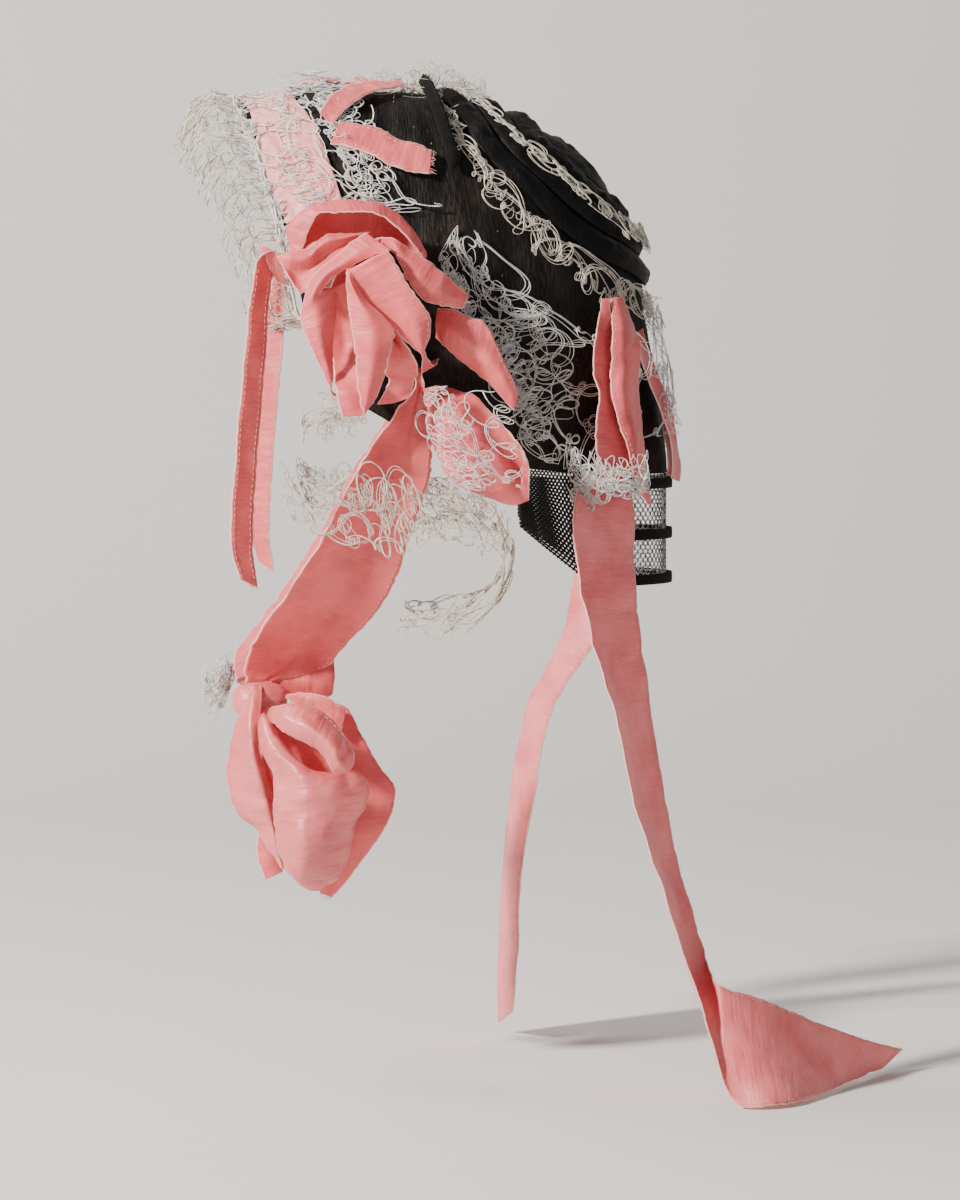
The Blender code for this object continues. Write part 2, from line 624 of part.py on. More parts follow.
def curtain(net, velvet):
    """The net curtain over the nape and the three velvet bands across it.

    Its depths are millimetres below the widest line of the crown.
    """
    first_azimuth, top, bottom, bottom_at_ends = 130.0, 70.4, 118.0, 91.0
    around, columns, end_slope, band_lift, band_wall = 14, 3, 20.0, 2.7, 1.6
    rim = 160.0

    def nape_point(azimuth, depth, lift):
        point = crown_point(azimuth, rim, 0)
        level = Vector((point.x, point.y, 0))
        return level + level.normalized() * lift + Vector((0, 0, -CROWN_HEIGHT - depth))

    grid = []
    for k in range(around + 1):
        azimuth = first_azimuth + (360 - 2 * first_azimuth) * k / around
        from_end = min(1.0, min(azimuth - first_azimuth, 360 - first_azimuth - azimuth) / end_slope)
        end = bottom_at_ends + (bottom - bottom_at_ends) * from_end
        depths = [top + (end - top) * j / columns for j in range(columns + 1)]
        grid.append([nape_point(azimuth, depth, NET_WALL / 2) for depth in depths])
    cloth("nape_curtain", grid, NET_WALL, net, pierced=True, cell_wall=1.0)
    Band = namedtuple("Band", "name depth height start")
    bands = [
        Band("velvet_band_top", 72.0, 4.4, 160.0),
        Band("velvet_band_middle", 94.0, 4.4, 144.0),
        Band("velvet_band_hem", 113.5, 4.4, 148.0),
    ]
    for band in bands:
        grid = []
        for k in range(around + 1):
            azimuth = band.start + (360 - 2 * band.start) * k / around
            depths = (band.depth, band.depth + band.height)
            grid.append([nape_point(azimuth, depth, band_lift) for depth in depths])
        cloth(band.name, grid, band_wall, velvet)


def side_laces(look):
    """Gathered lace on each side: on the crown behind the ear, and the frill below the ear."""
    on_crown = [
        Strip(104, 80, 112, 70), Strip(112, 92, 122, 82), Strip(120, 106, 138, 92),
        Strip(124, 122, 146, 112), Strip(128, 140, 148, 132), Strip(134, 154, 146, 158),
    ]  # fmt: skip
    below_ear = [
        Across(92, -48, -160, 94, -44, -182), Across(92, -34, -166, 95, -30, -188),
        Across(92, -16, -166, 96, -6, -196), Across(92, 0, -164, 98, 6, -194),
        Across(94, 14, -170, 98, 16, -190), Across(93, 36, -173.2, 98, 36, -196),
        Across(92, 52, -186, 92, 46, -208), Across(84, 48, -212, 84, 36, -226),
        Across(78, 24, -218, 78, 20, -238), Across(74, 4, -222, 74, 2, -232),
    ]  # fmt: skip
    for side, turn, sign in (("left", list, 1), ("right", mirrored, -1)):
        rows = [Strip(sign * r.azimuth1, r.down1, sign * r.azimuth2, r.down2) for r in on_crown]
        strip_on_crown(
            f"crown_side_lace_{side}", rows, look, LACE_WALL, steps=14, columns=2,
            lift=NET_WALL + CLEAR + 0.8, ripple=3.0, waves=4, both_sides=False,
        )  # fmt: skip
        ribbon(f"ear_lace_{side}", turn(below_ear), look, 16, 1)


def chin_lace(look):
    """The scrap of lace that stands out under the chin."""
    rows = [
        Across(-4, -71, -256.6, -4, -71, -250), Across(2, -76, -264, 4, -72, -238),
        Across(6, -84, -262, 8, -84, -246),
    ]  # fmt: skip
    ribbon("chin_lace", rows, look, 6, 2, 2)


def main():
    clear_scene()
    pink = cloth_look("pink_silk", PINK, 0.45)
    net = cloth_look("black_net", BLACK, 0.8)
    velvet = cloth_look("black_velvet", VELVET, 0.95)
    lace = cloth_look("white_lace", LACE, 0.85)
    crown_net(net)
    crown_folds(net)
    velvet_bar(velvet)
    face_frill(lace)
    head_band(pink)
    band_lace(lace)
    crown_laces(lace)
    top_bow(pink)
    temple_ribbons(pink)
    chin_ribbons(pink)
    nape_ribbons(pink)
    curtain(net, velvet)
    side_laces(lace)
    chin_lace(lace)


main()
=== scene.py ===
"""The day cap dressed for its picture: net, folded silk, ribbons, velvet and thread lace.

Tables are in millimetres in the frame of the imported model: +Z up, the wearer faces -Y and
the wearer's left side is +X. The meshes are made in metres.
"""

import math
from collections import namedtuple

import bpy
import numpy as np
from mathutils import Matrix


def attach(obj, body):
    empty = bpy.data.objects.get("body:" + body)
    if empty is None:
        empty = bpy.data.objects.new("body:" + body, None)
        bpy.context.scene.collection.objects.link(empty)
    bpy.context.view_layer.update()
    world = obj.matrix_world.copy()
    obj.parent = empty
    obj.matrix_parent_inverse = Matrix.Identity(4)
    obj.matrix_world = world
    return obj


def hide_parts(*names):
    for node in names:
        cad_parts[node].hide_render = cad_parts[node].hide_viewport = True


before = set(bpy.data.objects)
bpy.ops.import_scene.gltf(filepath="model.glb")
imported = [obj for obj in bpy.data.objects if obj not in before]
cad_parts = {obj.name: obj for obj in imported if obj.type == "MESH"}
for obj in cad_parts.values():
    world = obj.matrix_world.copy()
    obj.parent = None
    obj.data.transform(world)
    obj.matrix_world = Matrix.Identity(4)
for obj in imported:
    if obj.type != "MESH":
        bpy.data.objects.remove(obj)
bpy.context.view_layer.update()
MM = 0.001


# Camera: level with the ear, two metres from the wearer's left side, where the picture was
# taken. Its frame is 960 by 1200 pixels.
def aim(thing, target):
    """Turn a camera or a light so that it faces a point."""
    away = thing.location - type(thing.location)(target)
    thing.rotation_euler = away.to_track_quat("Z", "Y").to_euler()


LONG_SIDE_MM, LONG_SIDE_PX, FOCAL_PX = 36.0, 1200, 4545.5
MM_PER_PIXEL, EYE_DISTANCE, MIDDLE_U, MIDDLE_Y, EYE_V, EYE_Z = 0.44, 2000.0, 480, 37.4, 355, -113.6
CAMERA_HEIGHT, MIDDLE_HEIGHT = -0.1135, -0.2213
lens = bpy.data.cameras.new("camera")
lens.sensor_width = LONG_SIDE_MM
lens.lens = FOCAL_PX * LONG_SIDE_MM / LONG_SIDE_PX
camera = bpy.data.objects.new("camera", lens)
bpy.context.collection.objects.link(camera)
camera.location = (EYE_DISTANCE * MM, MIDDLE_Y * MM, CAMERA_HEIGHT)
aim(camera, (0.0, MIDDLE_Y * MM, MIDDLE_HEIGHT))
bpy.context.scene.camera = camera

# Studio: a pale paper floor that sweeps up into the backdrop, lit by a small key light high on
# the left, a wide weak fill and a light on the wall.
FLOOR_Z, SWEEP_START, SWEEP_RADIUS, HALF_LENGTH, FRONT_EDGE, TOP = -0.4256, -1.1, 1.2, 5.0, 4.0, 3.5
profile = [(FRONT_EDGE, FLOOR_Z)]
for k in range(25):
    turn = math.pi / 2 * k / 24
    x, z = SWEEP_START - SWEEP_RADIUS * math.sin(turn), FLOOR_Z + SWEEP_RADIUS * (1 - math.cos(turn))
    profile.append((x, z))
profile.append((SWEEP_START - SWEEP_RADIUS, TOP))
corners = [(x, side * HALF_LENGTH, z) for x, z in profile for side in (-1, 1)]
strips = [(2 * k, 2 * k + 1, 2 * k + 3, 2 * k + 2) for k in range(len(profile) - 1)]
sweep_mesh = bpy.data.meshes.new("studio_sweep")
sweep_mesh.from_pydata(corners, [], strips)
sweep_mesh.shade_smooth()
paper = bpy.data.materials.new("studio_paper")
paper.use_nodes = True
nodes, links = paper.node_tree.nodes, paper.node_tree.links
shader = nodes["Principled BSDF"]
shader.inputs["Roughness"].default_value = 0.9
shader.inputs["Specular IOR Level"].default_value = 0.15
where = nodes.new("ShaderNodeTexCoord")
mottle = nodes.new("ShaderNodeTexNoise")
mottle.inputs["Scale"].default_value = 1.4
tone = nodes.new("ShaderNodeValToRGB")
tone.color_ramp.elements[0].color = (0.72, 0.685, 0.655, 1)
tone.color_ramp.elements[1].color = (0.76, 0.725, 0.695, 1)
links.new(where.outputs["Object"], mottle.inputs["Vector"])
links.new(mottle.outputs["Fac"], tone.inputs["Fac"])
links.new(tone.outputs["Color"], shader.inputs["Base Color"])
sweep_mesh.materials.append(paper)
sweep = bpy.data.objects.new("studio_sweep", sweep_mesh)
bpy.context.collection.objects.link(sweep)

CAP_MIDDLE, WALL_MIDDLE = (0.0, 0.03, -0.2), (-1.6, 0.1, -0.2)
Lamp = namedtuple("Lamp", "name x y z size power red green blue")
lamps = [
    Lamp("key", 1.5, -1.8, 1.0, 0.28, 165, 1.0, 0.97, 0.93),
    Lamp("fill", 2.2, 1.4, 0.1, 1.6, 9, 0.95, 0.97, 1.0),
    Lamp("wall", -0.6, -1.2, 1.8, 1.2, 30, 1.0, 0.99, 0.98),
]
for row in lamps:
    bulb = bpy.data.lights.new(row.name, "AREA")
    bulb.shape = "DISK"
    bulb.size = row.size
    bulb.energy = row.power
    bulb.color = (row.red, row.green, row.blue)
    lamp = bpy.data.objects.new(row.name, bulb)
    bpy.context.collection.objects.link(lamp)
    lamp.location = (row.x, row.y, row.z)
    aim(lamp, WALL_MIDDLE if row.name == "wall" else CAP_MIDDLE)
world = bpy.data.worlds.new("studio_air")
bpy.context.scene.world = world
world.use_nodes = True
world.node_tree.nodes["Background"].inputs["Color"].default_value = (0.86, 0.88, 0.91, 1)
world.node_tree.nodes["Background"].inputs["Strength"].default_value = 0.27


# The crown: a black net foundation over brown that fits the head, gathered a little towards
# its middle. Everything else is sewn to it.
HEIGHT, HALF_WIDTH, TO_FRONT, TO_BACK = 95.0, 76.0, 130.0, 108.0
FRONT_FULL, SIDE_FULL, BACK_FULL, NAPE_TAPER, NAPE_FLARE, NAPE_DEPTH = 3.0, 2.4, 2.0, 0.05, 0.15, 75.0
NET_WALL, CLEAR = 1.2, 0.5


def crown_point(azimuth, down, lift):
    """Points of the crown at an azimuth from the forehead and a way down from the top.

    down is in degrees, and past 90 it is 90 plus the millimetres down the upright wall.
    """
    azimuth, down, lift = np.broadcast_arrays(*(np.asarray(v, float) for v in (azimuth, down, lift)))
    a = np.radians(azimuth)
    forward = np.cos(a)
    end = np.where(forward > 0, TO_FRONT, TO_BACK)
    reach = 1 / np.hypot(forward / end, np.sin(a) / HALF_WIDTH)
    fullest = np.where(forward > 0, FRONT_FULL, BACK_FULL)
    power = SIDE_FULL + (fullest - SIDE_FULL) * np.abs(forward)
    polar = np.radians(np.minimum(down, 90.0))
    out = np.sin(polar) ** (2 / power)
    up = np.where(down < 90, np.maximum(np.cos(polar), 0.0) ** (2 / power), 0.0)
    drop = np.maximum(0.0, down - 90.0)
    flare = NAPE_FLARE * np.maximum(0.0, -forward) ** 4 * drop / NAPE_DEPTH
    out = out * (1 - NAPE_TAPER * (drop / NAPE_DEPTH) ** 2 + flare)
    reach = reach + lift * out
    z = -HEIGHT + (HEIGHT + lift) * up - drop
    return np.stack([reach * out * np.sin(a), -reach * forward * out, z], axis=-1)


def normals_of(grid, ring=False):
    """The unit normal at each point of a grid: across the columns, then along the rows."""
    if ring:
        along = np.roll(grid, -1, 0) - np.roll(grid, 1, 0)
    else:
        along = np.gradient(grid, axis=0)
    out = np.cross(np.gradient(grid, axis=1), along)
    return out / np.maximum(np.linalg.norm(out, axis=-1, keepdims=True), 1e-9)


WAVES = 12


def field(points, size, seed):
    """A smooth uneven value about 0 at each point; size is the width of its swells in millimetres."""
    rng = np.random.default_rng(seed)
    turn = rng.normal(size=(WAVES, 3))
    turn /= np.linalg.norm(turn, axis=1, keepdims=True)
    pace = 2 * math.pi / size * rng.uniform(0.6, 1.5, WAVES)
    swells = np.sin(points @ (turn * pace[:, None]).T + rng.uniform(0, 2 * math.pi, WAVES))
    return swells.sum(-1) / math.sqrt(WAVES)


def put_mesh(name, points, faces, look, uv=None, marks=None):
    """A mesh object of four-sided faces; points are in millimetres, marks are values at the points."""
    mesh = bpy.data.meshes.new(name)
    mesh.vertices.add(len(points))
    mesh.vertices.foreach_set("co", (np.asarray(points) * MM).astype(np.float32).ravel())
    mesh.loops.add(faces.size)
    mesh.loops.foreach_set("vertex_index", faces.astype(np.int32).ravel())
    mesh.polygons.add(len(faces))
    mesh.polygons.foreach_set("loop_start", np.arange(0, faces.size, 4, dtype=np.int32))
    mesh.polygons.foreach_set("loop_total", np.full(len(faces), 4, dtype=np.int32))
    if uv is not None:
        layer = mesh.uv_layers.new(name="cloth")
        layer.data.foreach_set("uv", uv[faces.ravel()].astype(np.float32).ravel())
    for key, values in (marks or {}).items():
        mark = mesh.attributes.new(key, "FLOAT", "POINT")
        mark.data.foreach_set("value", values.astype(np.float32).ravel())
    mesh.update(calc_edges=True)
    mesh.validate()
    mesh.shade_smooth()
    mesh.materials.append(look)
    piece = bpy.data.objects.new(name, mesh)
    bpy.context.collection.objects.link(piece)
    return piece


def lengths_of(grid, axis):
    """The distances between neighbours in a grid."""
    return np.linalg.norm(np.diff(grid, axis=axis), axis=-1)


def cloth(name, grid, thick, look, ring=False):
    """A thin wall of cloth on a grid of points, with its UV map in metres and its hem's distance."""
    rows, columns = grid.shape[:2]
    normal = normals_of(grid, ring)
    sides = grid + normal * thick / 2, grid - normal * thick / 2
    points = np.concatenate([side.reshape(-1, 3) for side in sides])
    index = np.arange(rows * columns).reshape(rows, columns)
    here = index if ring else index[:-1]
    there = np.roll(index, -1, 0)[: len(here)]
    front = np.stack([here[:, :-1], here[:, 1:], there[:, 1:], there[:, :-1]], -1).reshape(-1, 4)
    back = rows * columns
    faces = [front, front[:, ::-1] + back]
    low_a, low_b, high_a, high_b = here[:, 0], there[:, 0], here[:, -1], there[:, -1]
    faces.append(np.stack([low_a, low_b, low_b + back, low_a + back], -1))
    faces.append(np.stack([high_b, high_a, high_a + back, high_b + back], -1))
    if not ring:
        first, last = index[0], index[-1]
        faces.append(np.stack([first[1:], first[:-1], first[:-1] + back, first[1:] + back], -1))
        faces.append(np.stack([last[:-1], last[1:], last[1:] + back, last[:-1] + back], -1))
    across = np.concatenate([np.zeros((rows, 1)), np.cumsum(lengths_of(grid, 1), 1)], 1)
    along = np.concatenate([np.zeros((1, columns)), np.cumsum(lengths_of(grid, 0), 0)], 0)
    along = np.broadcast_to(along.mean(1, keepdims=True), (rows, columns))
    uv = np.stack([along, across], -1).reshape(-1, 2) * MM
    hem = np.minimum(across, across[:, -1:] - across)
    cut = np.minimum(along, along[-1:] - along)
    marks = {"hem": np.tile(hem.ravel(), 2), "cut": np.tile(cut.ravel(), 2)}
    return put_mesh(name, points, np.concatenate(faces), look, np.tile(uv, (2, 1)), marks)


def dress(piece, slot, *nodes):
    """Carry a finished piece on the cap's one body, in place of the plain solids that it stands for."""
    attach(piece, "root")
    if nodes:
        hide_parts(*nodes)


def look_of(name, rough, sheen, specular):
    """A new material with its shader, its nodes and its links."""
    look = bpy.data.materials.new(name)
    look.use_nodes = True
    nodes, links = look.node_tree.nodes, look.node_tree.links
    shader = nodes["Principled BSDF"]
    shader.inputs["Roughness"].default_value = rough
    shader.inputs["Sheen Weight"].default_value = sheen
    shader.inputs["Specular IOR Level"].default_value = specular
    return look, shader, nodes, links


def noise(nodes, links, vector, stretch, detail, rough=0.55):
    """Noise over a vector that is scaled by three numbers first; gives its Fac socket."""
    scale = nodes.new("ShaderNodeMapping")
    scale.inputs["Scale"].default_value = stretch
    links.new(vector, scale.inputs["Vector"])
    texture = nodes.new("ShaderNodeTexNoise")
    texture.inputs["Scale"].default_value = 1.0
    texture.inputs["Detail"].default_value = detail
    texture.inputs["Roughness"].default_value = rough
    links.new(scale.outputs["Vector"], texture.inputs["Vector"])
    return texture.outputs["Fac"]


def ramp(nodes, links, value, *stops):
    """A colour ramp of stops (place, (red, green, blue)) read by a value; gives its Color socket."""
    table = nodes.new("ShaderNodeValToRGB")
    marks = table.color_ramp.elements
    while len(marks) < len(stops):
        marks.new(0.5)
    for mark, (place, colour) in zip(marks, stops):
        mark.position = place
        mark.color = (*colour, 1)
    links.new(value, table.inputs["Fac"])
    return table.outputs["Color"]


def raise_by(nodes, links, height, metres, normal=None, strength=1.0):
    """A bump of a height in metres; gives its Normal socket."""
    bump = nodes.new("ShaderNodeBump")
    bump.inputs["Strength"].default_value = strength
    bump.inputs["Distance"].default_value = metres
    links.new(height, bump.inputs["Height"])
    if normal is not None:
        links.new(normal, bump.inputs["Normal"])
    return bump.outputs["Normal"]


def net_look(name):
    """Black net over brown: fine upright threads with small bright specks."""
    look, shader, nodes, links = look_of(name, 0.66, sheen=0.0, specular=0.2)
    uv = nodes.new("ShaderNodeUVMap").outputs["UV"]
    threads = noise(nodes, links, uv, (900, 170, 1), 2.0, 0.6)
    patches = noise(nodes, links, uv, (34, 26, 1), 3.0)
    specks = noise(nodes, links, uv, (420, 420, 1), 1.0)
    dark = ramp(nodes, links, threads, (0.40, (0.003, 0.0025, 0.002)), (0.72, (0.030, 0.019, 0.013)))
    deep = ramp(nodes, links, patches, (0.38, (0.28, 0.28, 0.28)), (0.62, (1.0, 1.0, 1.0)))
    mix = nodes.new("ShaderNodeMixRGB")
    mix.blend_type = "MULTIPLY"
    mix.inputs["Fac"].default_value = 1.0
    links.new(dark, mix.inputs["Color1"])
    links.new(deep, mix.inputs["Color2"])
    spots = ramp(nodes, links, specks, (0.76, (0, 0, 0)), (0.80, (0.35, 0.32, 0.29)))
    add = nodes.new("ShaderNodeMixRGB")
    add.blend_type = "ADD"
    add.inputs["Fac"].default_value = 1.0
    links.new(mix.outputs["Color"], add.inputs["Color1"])
    links.new(spots, add.inputs["Color2"])
    links.new(add.outputs["Color"], shader.inputs["Base Color"])
    links.new(raise_by(nodes, links, threads, 0.0006), shader.inputs["Normal"])
    return look


Place = namedtuple("Place", "azimuth down")
net_edge = [
    Place(0, 20), Place(26, 30), Place(44, 50), Place(54, 68), Place(64, 92),
    Place(78, 128), Place(100, 145), Place(122, 155), Place(150, 160), Place(180, 160),
]
around, downward, gathers = 216, 54, 36
azimuths = np.linspace(0, 360, around, endpoint=False)
folded = np.where(azimuths > 180, 360 - azimuths, azimuths)
end = np.interp(folded, [p.azimuth for p in net_edge], [p.down for p in net_edge])
share = np.linspace(0.0, 1.0, downward) ** 0.9
downs = 0.6 + (end[:, None] - 0.6) * share[None, :]
gather = 0.35 * np.sin(np.radians(azimuths) * gathers)[:, None] * np.sin(np.pi * share)[None, :]
net_grid = crown_point(azimuths[:, None], downs, NET_WALL / 2 + gather)
net_grid += normals_of(net_grid, True) * (0.25 * field(net_grid, 16, 3))[..., None]
crown = cloth("crown_of_net", net_grid, NET_WALL, net_look("net_over_brown"), ring=True)
dress(crown, "black_net", "crown_net")


# The folds: soft black silk gathered into rolls over the back of the crown, one inside another,
# sewn down to the net between the rolls.
def chart(azimuth, down):
    """A place on the crown as two even coordinates: degrees to the left and to the back."""
    a = np.radians(np.asarray(azimuth, float))
    return np.stack([down * np.sin(a), -down * np.cos(a)], -1)


def on_chart(spot, lift):
    """Points of the crown at places given as chart() gives them."""
    left, back = spot[..., 0], spot[..., 1]
    return crown_point(np.degrees(np.arctan2(left, -back)), np.hypot(left, back), lift)


def curve_through(rows, steps, closed=False):
    """Rows of numbers read from a smooth curve through the rows of a table."""
    rows = np.asarray(rows, float)
    last = len(rows) if closed else len(rows) - 1
    t = np.linspace(0, last, steps + 1)[: steps if closed else steps + 1]
    i = np.minimum(t.astype(int), last - 1)
    f = (t - i).reshape((-1,) + (1,) * (rows.ndim - 1))
    if closed:
        p0, p1, p2, p3 = (rows[(i + d) % last] for d in (-1, 0, 1, 2))
    else:
        p0, p1, p2, p3 = (rows[np.clip(i + d, 0, last)] for d in (-1, 0, 1, 2))
    bend = 2 * p0 - 5 * p1 + 4 * p2 - p3 + f * (3 * (p1 - p2) + p3 - p0)
    return p1 + 0.5 * f * (p2 - p0 + f * bend)


def folded_silk_look(name):
    """Black silk: a soft gloss along the rolls, fine crosswise creases."""
    look, shader, nodes, links = look_of(name, 0.5, sheen=0.0, specular=0.10)
    where = nodes.new("ShaderNodeTexCoord").outputs["Object"]
    cloud = noise(nodes, links, where, (60, 60, 60), 4.0)
    links.new(ramp(nodes, links, cloud, (0.3, (0.0022, 0.0022, 0.0022)), (0.7, (0.0065, 0.006, 0.0058))),
              shader.inputs["Base Color"])
    fine = noise(nodes, links, where, (700, 700, 260), 4.0, 0.65)
    links.new(raise_by(nodes, links, fine, 0.0007, strength=0.8), shader.inputs["Normal"])
    return look


FOLD_CENTRE = np.array((0.0, 48.0))
fold_line = [
    Place(180, 9), Place(137, 15), Place(128, 28), Place(126, 44), Place(132, 56),
    Place(144, 70), Place(158, 78), Place(180, 83),
]
Fold = namedtuple("Fold", "node outer inner height rolls seed")
folds = [
    Fold("crown_fold_outer", 1.00, 0.80, 2.8, 9, 11),
    Fold("crown_fold_middle", 0.78, 0.58, 3.4, 7, 12),
    Fold("crown_fold_inner", 0.56, 0.34, 3.4, 5, 13),
    Fold("crown_fold_centre", 0.32, 0.02, 3.0, 4, 14),
]
one_side = np.array([chart(p.azimuth, p.down) for p in fold_line])
whole_line = np.concatenate([one_side, one_side[-2:0:-1] * (-1, 1)])
fold_seat = NET_WALL + CLEAR + 0.8
folded_silk = folded_silk_look("folded_black_silk")
steps, columns, fold_wall = 180, 16, 0.9
for fold in folds:
    outlines = [FOLD_CENTRE + (whole_line - FOLD_CENTRE) * share for share in (fold.outer, fold.inner)]
    rims = [curve_through(outline, steps, True) for outline in outlines]
    t = np.linspace(0, 1, columns + 1)
    arch = np.sin(np.pi * t)[None, :]
    spots = rims[0][:, None] * (1 - t)[None, :, None] + rims[1][:, None] * t[None, :, None]
    turn = 2 * np.pi * np.arange(steps) / steps
    swells = 1 - 0.22 * (1 + np.cos(fold.rolls * turn + fold.seed))
    if fold.node == "crown_fold_centre":
        lift = fold_seat + fold.height * (1 - (1 - t) ** 2)[None, :] * np.ones_like(swells)[:, None]
    else:
        lift = fold_seat + fold.height * swells[:, None] * arch ** 0.8
    grid = on_chart(spots, lift)
    out = normals_of(grid, True)
    grid = grid + out * ((0.55 - np.abs(field(grid, 13, fold.seed))) * 0.9 * arch)[..., None]
    grid = grid + out * (0.18 * field(grid, 4, fold.seed + 50) * arch)[..., None]
    piece = cloth(fold.node + "_silk", grid, fold_wall, folded_silk, ring=True)
    dress(piece, "black_net", fold.node)


# The velvet bar: a padded cord covered in black velvet, sewn over the head from side to side
# in front of the folds.
HEAD_MIDDLE = np.array((0.0, 10.0, -90.0))


def tubes(points, up, radius, sides):
    """Tubes along M lines of n points (M, n, 3): their points and faces; up is never along a line."""
    points = np.asarray(points, float)
    count, steps = points.shape[:2]
    along = np.gradient(points, axis=1)
    side = np.cross(along, np.broadcast_to(up, points.shape))
    side /= np.maximum(np.linalg.norm(side, axis=-1, keepdims=True), 1e-9)
    rise = np.cross(side, along)
    rise /= np.maximum(np.linalg.norm(rise, axis=-1, keepdims=True), 1e-9)
    turn = 2 * np.pi * np.arange(sides) / sides
    ring = np.cos(turn)[:, None] * side[:, :, None] + np.sin(turn)[:, None] * rise[:, :, None]
    radius = np.broadcast_to(np.asarray(radius, float), (count, steps))
    corners = points[:, :, None] + ring * radius[:, :, None, None]
    index = np.arange(count * steps * sides).reshape(count, steps, sides)
    a, b = index[:, :-1], index[:, 1:]
    faces = np.stack([a, b, np.roll(b, -1, 2), np.roll(a, -1, 2)], -1)
    return corners.reshape(-1, 3), faces.reshape(-1, 4)


def strands(name, batches, look, sides=4):
    """One mesh of many threads. Each batch is (points, up, radius), as tubes() takes them."""
    all_points, all_faces, first = [], [], 0
    for points, up, radius in batches:
        corners, faces = tubes(points, up, radius, sides)
        all_points.append(corners)
        all_faces.append(faces + first)
        first += len(corners)
    return put_mesh(name, np.concatenate(all_points), np.concatenate(all_faces), look)


def velvet_look(name):
    """Black velvet: a deep pile that lightens a little at its edges."""
    look, shader, nodes, links = look_of(name, 0.9, sheen=0.12, specular=0.05)
    shader.inputs["Sheen Roughness"].default_value = 0.5
    shader.inputs["Sheen Tint"].default_value = (0.30, 0.28, 0.27, 1)
    where = nodes.new("ShaderNodeTexCoord").outputs["Object"]
    pile = noise(nodes, links, where, (1500, 1500, 1500), 3.0, 0.7)
    links.new(ramp(nodes, links, pile, (0.3, (0.0015, 0.0015, 0.0015)), (0.75, (0.010, 0.009, 0.009))),
              shader.inputs["Base Color"])
    links.new(raise_by(nodes, links, pile, 0.0006), shader.inputs["Normal"])
    return look


velvet = velvet_look("black_velvet_pile")
bar_path = [Place(112, 56), Place(112, 44), Place(114, 30), Place(122, 17), Place(180, 7)]
half = np.array([chart(p.azimuth, p.down) for p in bar_path])
bar_line = np.concatenate([half, half[-2::-1] * (-1, 1)])
bar_radius, bar_over_lace = 2.7, 2.9
spine = on_chart(curve_through(bar_line, 150), NET_WALL + CLEAR + bar_over_lace + bar_radius)
away = spine - HEAD_MIDDLE
from_start, from_end = np.linspace(0, 60, 151), np.linspace(60, 0, 151)
rounding = np.sqrt(np.clip(np.minimum(from_start, from_end) + 0.02, 0, 1))
pile = 1 + 0.05 * field(spine, 5, 21)
bar = strands("velvet_bar_pile", [(spine[None], away[None], bar_radius * rounding * pile)], velvet, 16)
dress(bar, "black_velvet", "velvet_bar")


# Silk ribbon: crisp taffeta with a woven selvedge, its creases crosswise. Every pink piece is
# cut from it. A ribbon is laid through lines across it, given by its two edges.
Across = namedtuple("Across", "x1 y1 z1 x2 y2 z2")
Pleat = namedtuple("Pleat", "at_start at_end depth_start depth_end width")
ROSE_LIGHT, ROSE_DARK = (0.86, 0.22, 0.22), (0.66, 0.115, 0.125)


def silk_look(name, light=ROSE_LIGHT, dark=ROSE_DARK, rough=0.40, sheen=0.10, crinkle=0.7):
    """Pink silk: two tones in clouds, a paler selvedge, a fine weave and crosswise wrinkles."""
    look, shader, nodes, links = look_of(name, rough, sheen=sheen, specular=0.42)
    shader.inputs["Sheen Roughness"].default_value = 0.35
    shader.inputs["Subsurface Weight"].default_value = 0.2
    shader.inputs["Subsurface Radius"].default_value = (1.0, 0.22, 0.26)
    shader.inputs["Subsurface Scale"].default_value = 0.003
    shader.inputs["Sheen Tint"].default_value = (1.0, 0.72, 0.70, 1)
    uv = nodes.new("ShaderNodeUVMap").outputs["UV"]
    where = nodes.new("ShaderNodeTexCoord").outputs["Object"]
    hem = nodes.new("ShaderNodeAttribute")
    hem.attribute_name = "hem"
    weft = noise(nodes, links, uv, (2600, 140, 1), 3.0, 0.6)
    clouds = noise(nodes, links, where, (45, 45, 45), 4.0, 0.6)
    mix = nodes.new("ShaderNodeMath")
    mix.operation = "MULTIPLY_ADD"
    mix.inputs[1].default_value = 0.35
    links.new(weft, mix.inputs[0])
    links.new(clouds, mix.inputs[2])
    colour = ramp(nodes, links, mix.outputs["Value"], (0.45, dark), (0.80, light))
    edge = ramp(nodes, links, hem.outputs["Fac"], (0.0, (0.88, 0.44, 0.40)), (0.55, (0.76, 0.25, 0.23)))
    near = ramp(nodes, links, hem.outputs["Fac"], (0.35, (1, 1, 1)), (0.75, (0, 0, 0)))
    blend = nodes.new("ShaderNodeMixRGB")
    links.new(near, blend.inputs["Fac"])
    links.new(colour, blend.inputs["Color1"])
    links.new(edge, blend.inputs["Color2"])
    links.new(blend.outputs["Color"], shader.inputs["Base Color"])
    weave = noise(nodes, links, uv, (5200, 3800, 1), 2.0, 0.7)
    wrinkle = noise(nodes, links, uv, (210, 34, 1), 4.0, 0.6)
    fine = raise_by(nodes, links, weave, 0.00012, strength=0.6)
    links.new(raise_by(nodes, links, wrinkle, 0.0012, fine, crinkle), shader.inputs["Normal"])
    return look


SELVEDGE_WOBBLE = 0.25


